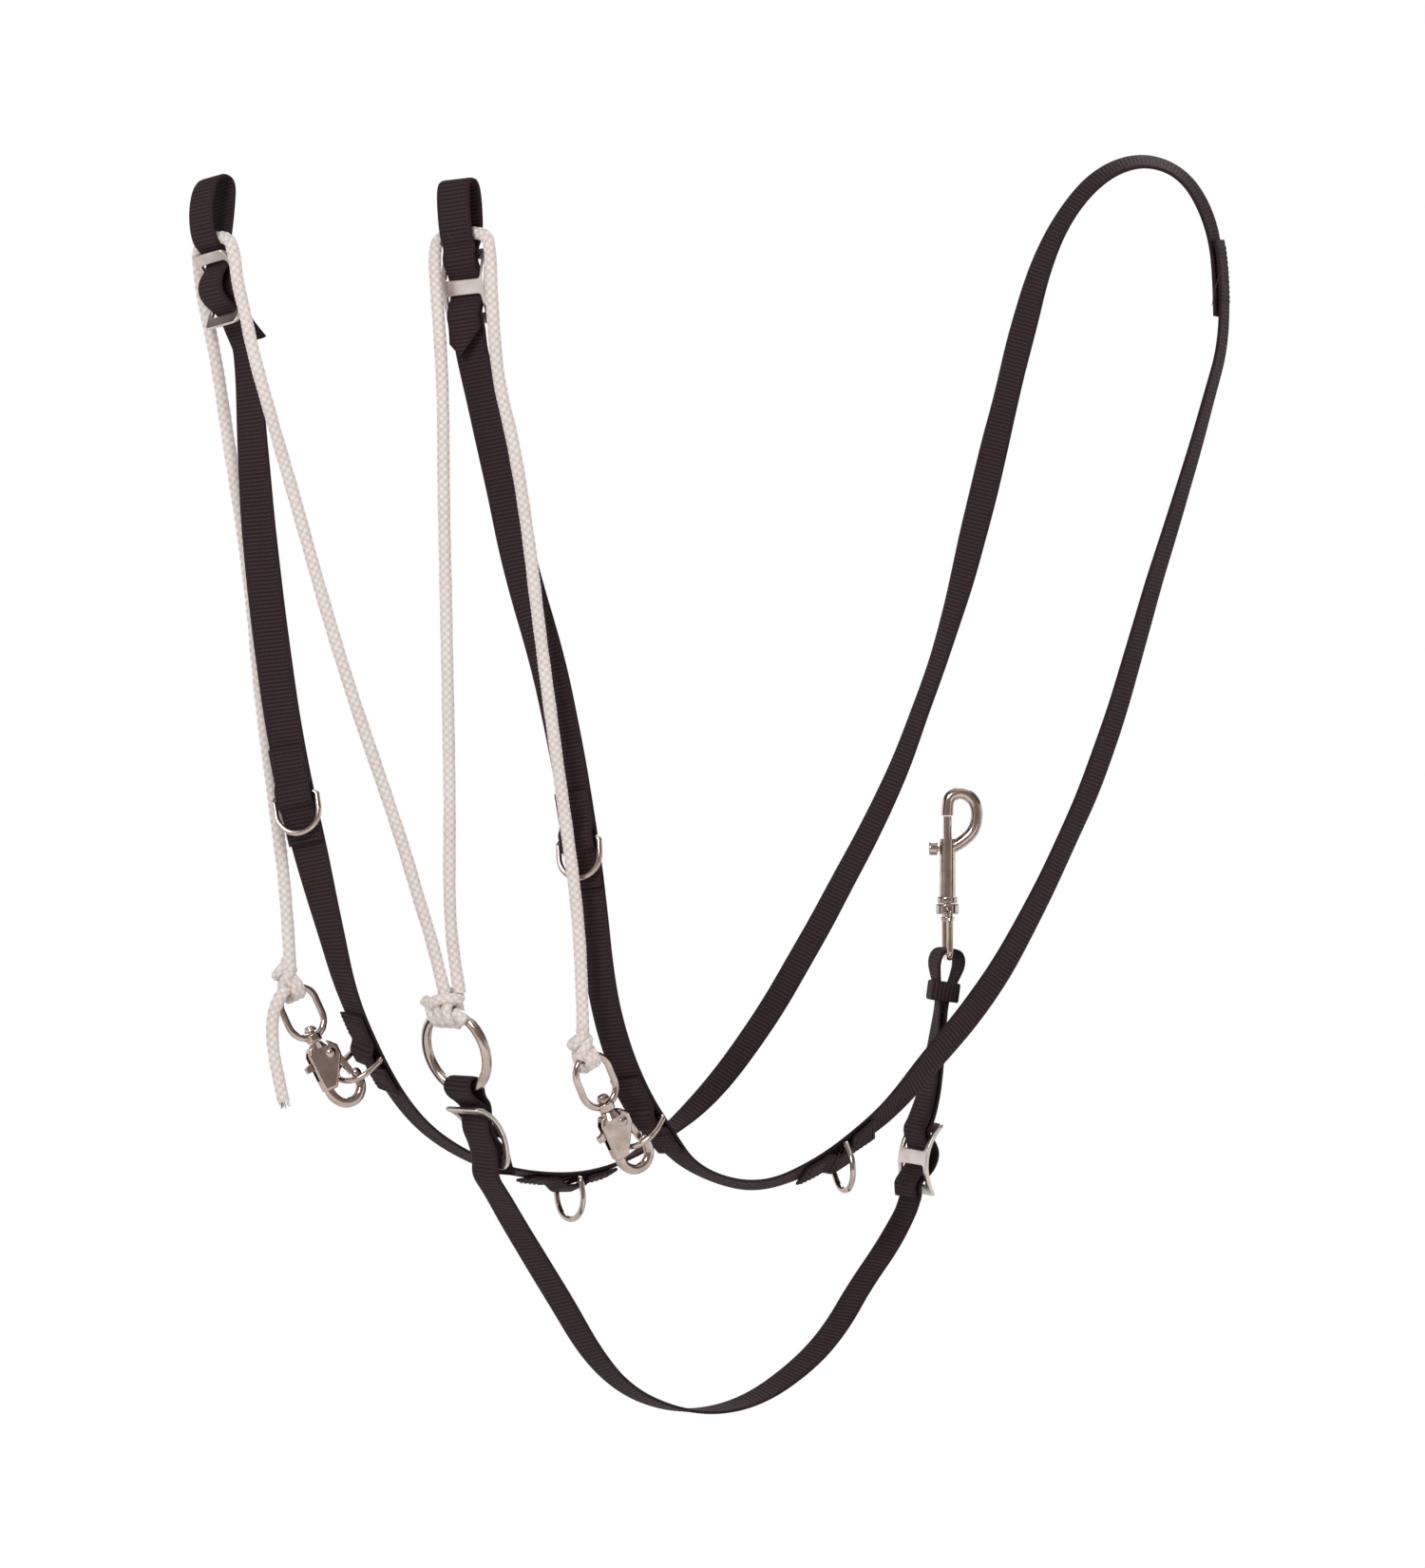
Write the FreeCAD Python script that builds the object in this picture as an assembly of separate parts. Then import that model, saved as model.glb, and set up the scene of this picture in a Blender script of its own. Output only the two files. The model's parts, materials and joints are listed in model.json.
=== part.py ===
import FreeCAD, Part
import math
import os

from FreeCAD import Vector

# A riding martingale with its continuous reins, hung up by the two bit loops, the crown of the
# reins and the girth snap. Millimetres. The origin is the top of the peg under the reins' crown,
# +X to the right, +Z up, and -Y towards the viewer.

# ---- driving dimensions -------------------------------------------------------------------
WEB_WIDTH = 19.0
WEB_THICK = 2.2
WEB_STEP = 8.0                  # longest facet along a strap
BEND_STEP = math.radians(9)     # largest turn between two facets
RUN_SHARE = 0.45                # share of the shorter run that a bend takes up

CORD_DIAMETER = 6.4

SLIDE_REACH = 16.2              # centre bar to outer bar
SLIDE_OUTER_BAR = 5.5
SLIDE_CENTRE_BAR = 8.0
SLIDE_SLOT_WIDTH = 20.0
SLIDE_RAIL = 2.8
SLIDE_THICK = 2.2
SLIDE_BOW = 5.5
SLIDE_CUT = 26.0                # distance from the slide to where the free strap begins

D_WIRE = 3.0
D_HALF_BAR = 11.5
D_SIDE = 8.0
D_CORNER = 2.2
CHAPE_LENGTH = 50.0
CHAPE_GAP = 0.5                 # clearance between layers of webbing
BAR_GAP = 0.35                  # clearance round a D-ring's bar

RING_RADIUS = 21.0              # to the middle of the wire
RING_WIRE = 5.3
KNOT_GAP = 0.4                  # clearance where a knot goes round a moving wire

# ---- routes: x, y, z and lean; lean 0 shows the strap's full width, 90 only its edge ----------
REIN_LEFT = [
    (-448, -100, -186, 22), (-441, -100, -247, 15), (-433, -100, -300, 15),
    (-424, -100, -341, 17), (-413, -99, -384, 42), (-403, -93, -424, 58), (-391, -77, -453, 63),
    (-376, -57, -481, 67), (-356, -41, -501, 71), (-329, -22, -515, 76), (-299, -4, -520, 79),
    (-272, 10, -517, 80), (-246, 19, -501, 105), (-222, 24, -481, 126), (-195, 27, -446, 130),
    (-166, 28, -397, 130), (-142, 28, -352, 127), (-124, 27, -316, 123), (-108, 25, -274, 116),
    (-96, 22, -238, 119), (-85, 18, -196, 135), (-74, 14, -151, 139), (-66, 10, -116, 130),
    (-58, 6, -83, 134), (-49, 3, -51, 125), (-37, 0, -24, 117), (-18, 0, -2, 118),
    (4, 0, 6, 112), (25, 0, -2, 86), (38, 0, -23, 76), (43, 0, -50, 76), (43, 0, -76, 76),
]
REIN_RIGHT = [
    (-324, -100, -166, 26), (-315, -100, -209, 20), (-302, -100, -252, 18),
    (-293, -100, -293, 22), (-286, -100, -334, 24), (-280, -100, -375, 28), (-275, -100, -415, 40),
    (-268, -97, -448, 40), (-257, -88, -475, 40), (-245, -77, -493, 50), (-232, -64, -510, 68),
    (-213, -50, -520, 76), (-192, -36, -523, 73), (-171, -22, -516, 71), (-150, -8, -503, 70),
    (-127, 5, -486, 58), (-103, 14, -458, 48), (-78, 18, -428, 45), (-56, 19, -391, 52),
    (-35, 18, -348, 57), (-19, 16, -310, 53), (-4, 13, -264, 60), (6, 10, -227, 70),
    (16, 7, -193, 73), (27, 4, -158, 75), (38, 1, -119, 79), (46, 0.6, -88, 104),
    (45.8, 0.6, -50, 104), (43.2, 0.6, -36.4, 104),
]
CHEST_STRAP = [
    (-314, -44, -546, 50), (-298, -36, -578, 48), (-281, -30, -608, 52), (-263, -25, -628, 66),
    (-240, -20, -638, 79), (-217, -15, -640, 98), (-194, -8, -633, 114), (-171, 2, -617, 122),
    (-154, 12, -598, 125), (-141, 22, -576, 124), (-130, 30, -555, 124),
]
DRAW_CORD_LEFT = [
    (-353.5, -90, -424), (-359, -89, -400), (-366, -90, -378), (-374, -92, -350), (-386, -95, -314),
    (-400, -98, -273), (-414, -102, -227), (-428, -106, -176), (-440, -112, -134),
    (-449.5, -115, -100), (-453.5, -115, -80), (-457.5, -115, -64), (-459, -113, -50),
    (-462.6, -107.7, -38.6), (-480, -87.6, -42.2), (-481, -83.5, -55), (-476, -81, -74),
    (-470, -83, -100), (-463, -86, -146),
    (-453, -86, -209), (-447, -88, -276), (-439, -90, -334), (-434, -90, -372), (-432, -87.5, -410.5),
]
DRAW_CORD_RIGHT = [
    (-346, -90, -423), (-350, -89.5, -400), (-351.5, -90, -370), (-351, -91, -329), (-352, -94, -271),
    (-353, -98, -216), (-354, -102, -164), (-354, -106, -120), (-356, -106, -86), (-358, -105, -62),
    (-358.5, -101, -48), (-356.6, -96, -40), (-332.3, -110, -38), (-330, -115.5, -48),
    (-329.5, -119, -62), (-328.5, -118, -84), (-326, -115, -114), (-318, -115, -146), (-311, -115, -190),
    (-306, -115, -233), (-299, -115, -286), (-291, -115, -343), (-286, -112, -382),
    (-284, -112, -415), (-283.2, -111.5, -445),
]
LEFT_TAIL = [(-434, -94, -420), (-438.5, -95, -427), (-441, -95, -437), (-440.5, -95, -451),
             (-438, -95, -464), (-435, -95, -478)]

# ---- strap ends: slide centre, direction towards the loop, lean, side of the weave -----------
LEFT_BIT_END = dict(centre=(-468.5, -100, -67), towards=(-0.2, 0, 0.98), lean=48, side=-1)
RIGHT_BIT_END = dict(centre=(-341, -100, -66), towards=(-0.08, 0, 0.997), lean=30, side=1)
RING_END = dict(centre=(-337, -69, -496), towards=(-0.387, -0.42, 0.82), lean=50, side=-1)
SNAP_END = dict(centre=(-109, 37, -511), towards=(0.125, 0, 0.992), lean=124, side=-1)
SNAP_LOOP_LEAN = 95             # lean of the doubled strap where it goes round the snap's eye
SNAP_TWIST = (22, 80)           # the doubled strap turns between these distances from the slide

Y_AXIS = Vector(0, 1, 0)


# ---- vectors and routes ---------------------------------------------------------------------
def unit(vector):
    return Vector(vector) * (1 / Vector(vector).Length)


def across(vector, direction):
    """The part of a vector that is square to a unit direction, at length 1."""
    return unit(vector - direction * vector.dot(direction))


def width_axis(tangent, lean):
    """The direction across a strap that runs along tangent and leans by so many degrees."""
    in_picture = unit(Y_AXIS.cross(tangent))
    into_picture = across(Y_AXIS, tangent)
    angle = math.radians(lean)
    return in_picture * math.cos(angle) + into_picture * math.sin(angle)


def between(low, high, share):
    return low + (high - low) * share


def bend(before, corner, after):
    """The tangent arc at a corner: its first point, last point, radius and turn."""
    come, go = corner - before, after - corner
    turn = come.getAngle(go)
    reach = RUN_SHARE * min(come.Length, go.Length)
    radius = reach / math.tan(turn / 2)
    return corner - unit(come) * reach, corner + unit(go) * reach, radius, turn


def arc_point(start, corner, end, turn, share):
    """A point on the tangent arc, share 0 at its start and 1 at its end."""
    first, last = start - corner, end - corner
    rim = unit(first + last)
    centre = corner + rim * (first.Length / math.sin(turn / 2))
    out = start - centre
    side = across(end - centre, unit(out)) * out.Length
    return centre + out * math.cos(turn * share) + side * math.sin(turn * share)


def rounded(points, step):
    """Points along straight runs and tangent arcs, each with its place in the list of corners."""
    samples = [(points[0], 0.0)]

    def run_to(target, place):
        start, start_place = samples[-1]
        count = max(1, math.ceil((target - start).Length / step))
        for i in range(1, count + 1):
            share = i / count
            samples.append((start + (target - start) * share, between(start_place, place, share)))

    for i in range(1, len(points) - 1):
        first, last, radius, turn = bend(points[i - 1], points[i], points[i + 1])
        reach = (first - points[i]).Length
        place_in = i - reach / (points[i] - points[i - 1]).Length
        place_out = i + reach / (points[i + 1] - points[i]).Length
        run_to(first, place_in)
        count = max(1, math.ceil(turn / BEND_STEP), math.ceil(radius * turn / step))
        for k in range(1, count + 1):
            share = k / count
            spot = arc_point(first, points[i], last, turn, share)
            samples.append((spot, between(place_in, place_out, share)))
    run_to(points[-1], len(points) - 1.0)
    return samples


class Strip:
    """A length of webbing: its centre line, the direction across it and its face's normal."""

    def __init__(self, points, axis_at):
        samples = rounded(points, WEB_STEP)
        self.line = [spot for spot, place in samples]
        self.far = [0.0]
        for a, b in zip(self.line, self.line[1:]):
            self.far.append(self.far[-1] + (b - a).Length)
        self.tangent = []
        for i in range(len(self.line)):
            ahead = self.line[min(i + 1, len(self.line) - 1)]
            behind = self.line[max(i - 1, 0)]
            self.tangent.append(unit(ahead - behind))
        places = [place for spot, place in samples]
        self.across = [across(axis_at(t, p), t) for t, p in zip(self.tangent, places)]

    def nearest(self, point):
        """Distance along the strip of the sample nearest to a point."""
        gaps = [(spot - point).Length for spot in self.line]
        return self.far[gaps.index(min(gaps))]

    def frame(self, far):
        """Position, tangent, direction across and normal at a distance along the strip."""
        i = max(k for k in range(len(self.far) - 1) if self.far[k] <= far)
        share = (far - self.far[i]) / (self.far[i + 1] - self.far[i])
        spot = between(self.line[i], self.line[i + 1], share)
        tangent = unit(between(self.tangent[i], self.tangent[i + 1], share))
        wide = across(between(self.across[i], self.across[i + 1], share), tangent)
        return spot, tangent, wide, wide.cross(tangent)

    def solid(self):
        return ribbon(self.line, self.across, self.tangent)


def ribbon(line, wides, tangents):
    """A closed solid of flat facets: webbing of full width and thickness along a line."""
    corners = []
    for spot, wide, tangent in zip(line, wides, tangents):
        edge = wide * (WEB_WIDTH / 2)
        face = wide.cross(tangent) * (WEB_THICK / 2)
        corners += [spot - edge - face, spot + edge - face, spot + edge + face, spot - edge + face]
    facets = [(0, 1, 2), (0, 2, 3)]
    for i in range(len(line) - 1):
        a, b = 4 * i, 4 * i + 4
        for k in range(4):
            n = (k + 1) % 4
            facets += [(a + k, b + k, a + n), (a + n, b + k, b + n)]
    last = 4 * len(line) - 4
    facets += [(last, last + 2, last + 1), (last, last + 3, last + 2)]
    shell = Part.Shape()
    shell.makeShapeFromMesh((corners, facets), 0.0001)
    solid = Part.Solid(Part.Shell(shell.Faces))
    if solid.Volume < 0:
        solid.reverse()
    return solid


def leaning(leans):
    """The direction across a strap whose lean is given at each corner of its route."""
    def axis_at(tangent, place):
        i = min(int(place), len(leans) - 2)
        return width_axis(tangent, between(leans[i], leans[i + 1], place - i))
    return axis_at


# ---- round bars ---------------------------------------------------------------------------
def line_edge(a, b):
    return Part.LineSegment(a, b).toShape()


def arc_edge(a, b, c):
    return Part.Arc(a, b, c).toShape()


def sweep(edges, radius):
    """A round bar along a wire of lines and tangent arcs."""
    path = Part.Wire(edges)
    start = edges[0].valueAt(edges[0].FirstParameter)
    tangent = edges[0].tangentAt(edges[0].FirstParameter)
    section = Part.Wire(Part.Circle(start, tangent, radius).toShape())
    return path.makePipeShell([section], True, True)


def rounded_edges(points, share=RUN_SHARE):
    """Lines and tangent arcs along a route, with the radii of the arcs."""
    edges, radii = [], []
    start = points[0]
    for i in range(1, len(points) - 1):
        first, last, radius, turn = bend(points[i - 1], points[i], points[i + 1])
        middle = arc_point(first, points[i], last, turn, 0.5)
        edges += [line_edge(start, first), arc_edge(first, middle, last)]
        radii.append(radius)
        start = last
    edges.append(line_edge(start, points[-1]))
    return edges, radii


def cord(name, points):
    """A cord's tube; prints its length, its radii and how its volume compares with its length."""
    edges, radii = rounded_edges([Vector(p) for p in points])
    tube = sweep(edges, CORD_DIAMETER / 2)
    length = sum(edge.Length for edge in edges)
    share = tube.Volume / (math.pi * CORD_DIAMETER ** 2 / 4 * length)
    print(name, "length", round(length), "volume ratio", round(share, 4))
    print("  radii", [round(r) for r in radii])
    return tube


def bar(a, b, radius):
    return Part.makeCylinder(radius, (b - a).Length, a, b - a)


def box(low, high):
    low, high = Vector(low), Vector(high)
    size = high - low
    return Part.makeBox(size.x, size.y, size.z, low)


def place(shape, origin, x_axis, y_axis):
    """A copy of a shape made at the origin, moved to a frame."""
    x = unit(x_axis)
    y = across(y_axis, x)
    z = x.cross(y)
    matrix = FreeCAD.Matrix(x.x, y.x, z.x, origin.x, x.y, y.y, z.y, origin.y,
                            x.z, y.z, z.z, origin.z, 0, 0, 0, 1)
    copy = shape.copy()
    copy.Placement = FreeCAD.Placement(matrix).multiply(copy.Placement)
    return copy


def in_frame(origin, x_axis, y_axis, point):
    x = unit(x_axis)
    y = across(y_axis, x)
    z = x.cross(y)
    return origin + x * point[0] + y * point[1] + z * point[2]


def softened(shape, radius, keep=lambda edge: True):
    """The shape with its chosen edges rounded."""
    edges = [edge for edge in shape.Edges if keep(edge)]
    return shape.makeFillet(radius, edges)


# ---- strap ends: slide, loop and tail -----------------------------------------------------------
class StrapEnd:
    """The frame of a strap's end: u towards the loop, v off its face and w across it."""

    def __init__(self, centre, towards, lean, side, travel):
        self.centre = Vector(centre)
        self.u = unit(Vector(towards))
        self.side = side
        self.travel = travel
        self.lean = lean
        self.w, self.v = self.axes(lean)

    def axes(self, lean):
        tangent = self.u * self.travel
        wide = width_axis(tangent, lean)
        return wide, wide.cross(tangent)

    def at(self, u, v, w=0.0):
        return self.centre + self.u * u + self.v * (v * self.side) + self.w * w

    def twisted(self, u, v):
        """A point of the doubled strap, which turns on its way to the loop."""
        low, high = SNAP_TWIST
        share = min(max((u - low) / (high - low), 0), 1)
        wide, off = self.axes(between(self.lean, SNAP_LOOP_LEAN, share))
        return self.centre + self.u * u + off * (v * self.side), wide

    def web(self, path):
        return Strip([self.at(u, v) for u, v in path], lambda tangent, place: self.w)

    def twisted_web(self, path):
        spots = [self.twisted(u, v) for u, v in path]

        def axis_at(tangent, place):
            i = min(int(place), len(spots) - 2)
            return between(spots[i][1], spots[i + 1][1], place - i)
        return Strip([spot for spot, wide in spots], axis_at)

    def slide(self):
        return place(bowed_slide(), self.centre, self.w * (self.side * self.travel), self.u)


MAIN_LOW = [(-SLIDE_CUT, 3.0), (-20, 3.4), (-13.3, 6.0)]
MAIN_THROUGH = MAIN_LOW + [(-4.6, -0.2), (4.6, -0.2), (13.3, 6.0), (20, 2.8)]
TAIL_THROUGH = [(20, 5.8), (13.3, 9.0), (4.6, 2.6), (-4.6, 2.6), (-13.3, 9.0), (-20, 6.8)]
LEFT_LOOP = [(25, -1.6), (36, -1.5), (47, 2), (55, 7.5), (56.5, 14), (51.5, 18.5), (39, 14.5),
             (25, 8.6)]
RIGHT_LOOP = [(25, -1.6), (37, -3), (49, -3), (54, 0), (54, 5.5), (49, 8.4), (37, 9.2),
              (25, 8.6)]
LEFT_LOW = [(-SLIDE_CUT, 9.0), (-20, 7.4), (-13.3, 6.0)]
RING_LOW = [(-28, -9), (-19.5, -7.6)]


def bulged(path, extra):
    """A path through a slide whose stretch at the centre bar stands off by a little more."""
    return [(u, v - extra) if abs(u) <= 5 else (u, v) for u, v in path]


def left_bit_path():
    tail = TAIL_THROUGH[:4] + [(-13.3, 9.0), (-20, 11.6), (-28, 17.5)]
    return LEFT_LOW + bulged(MAIN_THROUGH, 4.0)[3:] + LEFT_LOOP + tail


def right_bit_path():
    return MAIN_THROUGH + RIGHT_LOOP + TAIL_THROUGH + [(-35, 8.5)]


def ring_end_path():
    up = MAIN_LOW + [(-4.6, 2.6), (4.6, 2.6), (13.3, 9.0), (20, 7.6)]
    loop = [(24.5, 9.8), (30, 9.8), (32.7, 5.2), (30, 0.6), (24.5, 0.6)]
    down = [(20, 3.2), (13.3, 6.0), (4.6, -0.2), (-4.6, -0.5), (-12.5, -2.6)] + RING_LOW[::-1]
    return up + loop + down


def snap_end_path():
    up = MAIN_LOW + [(-6.5, -1.5), (2, -4.2), (8.5, -1.2), (13.6, 5.2), (20, 1.8), (40, -1.5),
                     (62, -1.6), (84, -1.5)]
    loop = [(94, -5), (102, -7), (108, -5), (109, 0), (108, 5), (102, 7), (94, 5)]
    down = [(84, 1.5), (62, 1.6), (40, 1.5), (20, 4.9), (13.6, 8.2), (4.6, 2.6), (-4.6, 2.6),
            (-13.3, 9.0), (-20, 7.4), (-26, 6.8)]
    return up + loop + down


def bowed_slide():
    """A three-bar slide: x across, y along the strap, bowed towards +z at its centre bar."""
    reach = SLIDE_REACH + SLIDE_OUTER_BAR / 2
    radius = (SLIDE_REACH ** 2 + SLIDE_BOW ** 2) / (2 * SLIDE_BOW)
    centre_z = SLIDE_BOW - radius
    half_width = SLIDE_SLOT_WIDTH / 2 + SLIDE_RAIL

    def rim(size, y):
        return Vector(-half_width, y, centre_z + math.sqrt(size ** 2 - y ** 2))

    outer, inner = radius + SLIDE_THICK / 2, radius - SLIDE_THICK / 2
    edges = [arc_edge(rim(outer, -reach), rim(outer, 0), rim(outer, reach)),
             line_edge(rim(outer, reach), rim(inner, reach)),
             arc_edge(rim(inner, reach), rim(inner, 0), rim(inner, -reach)),
             line_edge(rim(inner, -reach), rim(outer, -reach))]
    plate = Part.Face(Part.Wire(edges)).extrude(Vector(2 * half_width, 0, 0))
    corners = [edge for edge in plate.Edges
               if edge.Length < SLIDE_THICK * 1.5 and abs(abs(edge.CenterOfMass.y) - reach) < 1]
    plate = plate.makeFillet(3.0, corners)
    low = SLIDE_CENTRE_BAR / 2
    high = SLIDE_REACH - SLIDE_OUTER_BAR / 2
    for sign in (-1, 1):
        near, far = sorted((sign * low, sign * high))
        slot = box((-SLIDE_SLOT_WIDTH / 2, near, -20), (SLIDE_SLOT_WIDTH / 2, far, 20))
        upright = [edge for edge in slot.Edges
                   if abs(edge.tangentAt(edge.FirstParameter).z) > 0.9]
        plate = plate.cut(slot.makeFillet(1.5, upright))
    faces = [face for face in plate.Faces if face.Area > 60 and face.Surface.TypeId ==
             "Part::GeomCylinder" and face.Surface.Radius > 20]
    rims = [edge for face in faces for edge in face.Edges]
    return plate.makeFillet(0.7, rims)


# ---- D-rings and the chapes that hold them --------------------------------------------------
def d_ring():
    """A D of round wire: its bar along x through the origin, its bow towards +y."""
    h, c = D_HALF_BAR, D_CORNER
    k = c * (1 - math.sqrt(0.5))
    edges = [line_edge(Vector(c - h, 0, 0), Vector(h - c, 0, 0)),
             arc_edge(Vector(h - c, 0, 0), Vector(h - k, k, 0), Vector(h, c, 0)),
             line_edge(Vector(h, c, 0), Vector(h, D_SIDE, 0)),
             arc_edge(Vector(h, D_SIDE, 0), Vector(0, D_SIDE + h, 0), Vector(-h, D_SIDE, 0)),
             line_edge(Vector(-h, D_SIDE, 0), Vector(-h, c, 0)),
             arc_edge(Vector(-h, c, 0), Vector(k - h, k, 0), Vector(c - h, 0, 0))]
    return sweep(edges, D_WIRE / 2)


def chape(strap, far, skew):
    """A patch of webbing sewn on a strap, bulging over the bar of a D-ring."""
    flat = WEB_THICK + CHAPE_GAP
    proud = WEB_THICK + D_WIRE + 3 * BAR_GAP
    top = 3.2 + abs(WEB_WIDTH / 2 * math.sin(math.radians(skew)))
    foot = top + 4.3
    bulge = [(-CHAPE_LENGTH / 2, flat), (-foot - 4.5, flat), (-foot, flat), (-top, proud),
             (top, proud), (foot, flat), (foot + 4.5, flat), (CHAPE_LENGTH / 2, flat)]
    stations = sorted({b[0] for b in bulge}
                      | {s - far for s in strap.far if abs(s - far) < CHAPE_LENGTH / 2 - 1})
    line, wides, tangents = [], [], []
    for station in stations:
        after = next(i for i in range(1, len(bulge)) if bulge[i][0] >= station)
        low, high = bulge[after - 1], bulge[after]
        off = between(low[1], high[1], (station - low[0]) / (high[0] - low[0]))
        spot, tangent, wide, normal = strap.frame(far + station)
        line.append(spot + normal * off)
        wides.append(wide)
        tangents.append(tangent)
    return ribbon(line, wides, tangents)


class HungRing:
    """A D-ring on a strap: where its bar lies and which way its bow points."""

    def __init__(self, strap, near, skew, bow):
        self.strap = strap
        self.far = strap.nearest(Vector(near))
        spot, tangent, wide, normal = strap.frame(self.far)
        self.centre = spot + normal * (WEB_THICK / 2 + BAR_GAP + D_WIRE / 2)
        self.skew = skew
        angle = math.radians(skew)
        self.bar = wide * math.cos(angle) + tangent * math.sin(angle)
        if bow == "down the strap":
            lift = math.radians(13)
            bow = tangent * math.cos(lift) + normal * math.sin(lift)
        self.bow = across(Vector(bow), self.bar)
        self.apex = self.centre + self.bow * (D_SIDE + D_HALF_BAR)

    def solid(self):
        return place(d_ring(), self.centre, self.bar, self.bow)

    def chape(self):
        return chape(self.strap, self.far, self.skew)


# ---- trigger snaps: x across, y towards the eye, z off the face; the eye's centre is the origin -
EYE_WIRE = 1.8
EYE_RADIUS = 9.8
EYE_STRAIGHT = 4.0
RIVET = Vector(4.0, -24.5, 0)
THROAT = (4.5, -39.5, 0)
TRIGGER_HALF = 1.3


def snap_eye():
    """An oval eye with a boss that the swivel's stem turns in."""
    r, s = EYE_RADIUS, EYE_STRAIGHT
    edges = [line_edge(Vector(r, -s, 0), Vector(r, s, 0)),
             arc_edge(Vector(r, s, 0), Vector(0, r + s, 0), Vector(-r, s, 0)),
             line_edge(Vector(-r, s, 0), Vector(-r, -s, 0)),
             arc_edge(Vector(-r, -s, 0), Vector(0, -r - s, 0), Vector(r, -s, 0))]
    eye = sweep(edges, EYE_WIRE)
    boss = softened(bar(Vector(0, -16.4, 0), Vector(0, -12, 0), 4.2), 0.8)
    return eye.fuse(boss).cut(bar(Vector(0, -18, 0), Vector(0, -9, 0), 2.1))


def snap_body():
    """Stem and button, two cheeks with a slot between them, and the hook."""
    stem = bar(Vector(0, -19, 0), Vector(0, -10, 0), 1.8)
    button = Part.makeCone(3.8, 2.4, 3.0, Vector(0, -10.9, 0), Y_AXIS)
    button = softened(button, 0.8)
    neck = Part.makeCone(6.0, 3.8, 3.4, Vector(0, -20.2, 0), Y_AXIS)
    outline = [(-5.6, -18), (6.0, -18), (9.4, -21.5), (9.4, -27), (4.4, -35.5), (0.4, -42),
               (-6.6, -42), (-7.2, -34), (-7.6, -22)]
    corners = [Vector(x, y, -3.6) for x, y in outline]
    plate = Part.Face(Part.makePolygon(corners + corners[:1])).extrude(Vector(0, 0, 7.2))
    plate = softened(plate, 1.6)
    hook = [(-3.6, -34), (-4.0, -45.5), (1.0, -51.4), (8.4, -51.6), (13.2, -46.5), (13.2, -39)]
    edges, radii = rounded_edges([Vector(x, y, 0) for x, y in hook])
    body = plate.fuse([stem, button, neck, sweep(edges, 2.6)])
    tip = Part.makeSphere(2.6, Vector(13.2, -39, 0))
    body = body.fuse(tip)
    slot_half = TRIGGER_HALF + 0.3
    slot = box((-14, -35.5, -slot_half), (16, -20.2, slot_half))
    rest = box((8, -40, -slot_half), (12.3, -34, slot_half))
    body = body.cut([slot, rest])
    return body.cut(bar(RIVET - Vector(0, 0, 6), RIVET + Vector(0, 0, 6), 1.55))


def snap_trigger():
    """The flat gate: a hub on the rivet, a tongue to the hook's tip and a thumb tab."""
    outline = [(0.8, -27.4), (-4.0, -29.4), (-10.8, -30.0), (-11.4, -26.8), (-4.6, -24.6),
               (0.6, -21.4), (6.8, -20.9), (8.6, -24.0), (11.9, -35.4), (11.6, -38.6),
               (9.6, -38.6), (6.6, -28.6)]
    corners = [Vector(x, y, -TRIGGER_HALF) for x, y in outline]
    face = Part.Face(Part.makePolygon(corners + corners[:1]))
    plate = softened(face.extrude(Vector(0, 0, 2 * TRIGGER_HALF)), 0.35)
    return plate.cut(bar(RIVET - Vector(0, 0, 6), RIVET + Vector(0, 0, 6), 2.75))


def snap_rivet():
    """A headed pin through both cheeks."""
    shank = bar(RIVET - Vector(0, 0, 3.6), RIVET + Vector(0, 0, 3.6), 1.5)
    heads = []
    for sign in (-1, 1):
        head = Part.makeSphere(3.2, RIVET + Vector(0, 0, sign * 1.9))
        low, high = sorted((sign * 3.6, sign * 9))
        heads.append(head.common(box((-20, -40, low), (20, 0, high))))
    return shank.fuse(heads)


def snap_spring():
    """A wound spring round the rivet, inside the trigger's hub."""
    turns = Part.makeHelix(0.75, 1.9, 2.15)
    start = turns.Edges[0].valueAt(turns.Edges[0].FirstParameter)
    tangent = turns.Edges[0].tangentAt(turns.Edges[0].FirstParameter)
    section = Part.Wire(Part.Circle(start, tangent, 0.28).toShape())
    coil = Part.Wire(turns.Edges).makePipeShell([section], True, True)
    coil.translate(RIVET - Vector(0, 0, 0.95))
    return coil


class TriggerSnap:
    """A trigger snap hooked on a D-ring's bow: its eye's centre is worked out from the hook."""

    def __init__(self, ring, up, face):
        self.y = unit(Vector(up))
        z = across(Vector(face), self.y)
        self.x = self.y.cross(z)
        self.origin = Vector(0, 0, 0)
        self.origin = ring.apex - self.at(THROAT)

    def at(self, point):
        return in_frame(self.origin, self.x, self.y, point)

    def solid(self, shape):
        return place(shape, self.origin, self.x, self.y)


# ---- bolt snap: z up the barrel, the eye's lower bar is the origin --------------------------------
BOLT_RADIUS = 2.3
BOLT_TIP = 73.2
KNOB_HEIGHT = 56.5
BOLT_X = -1.0


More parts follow.
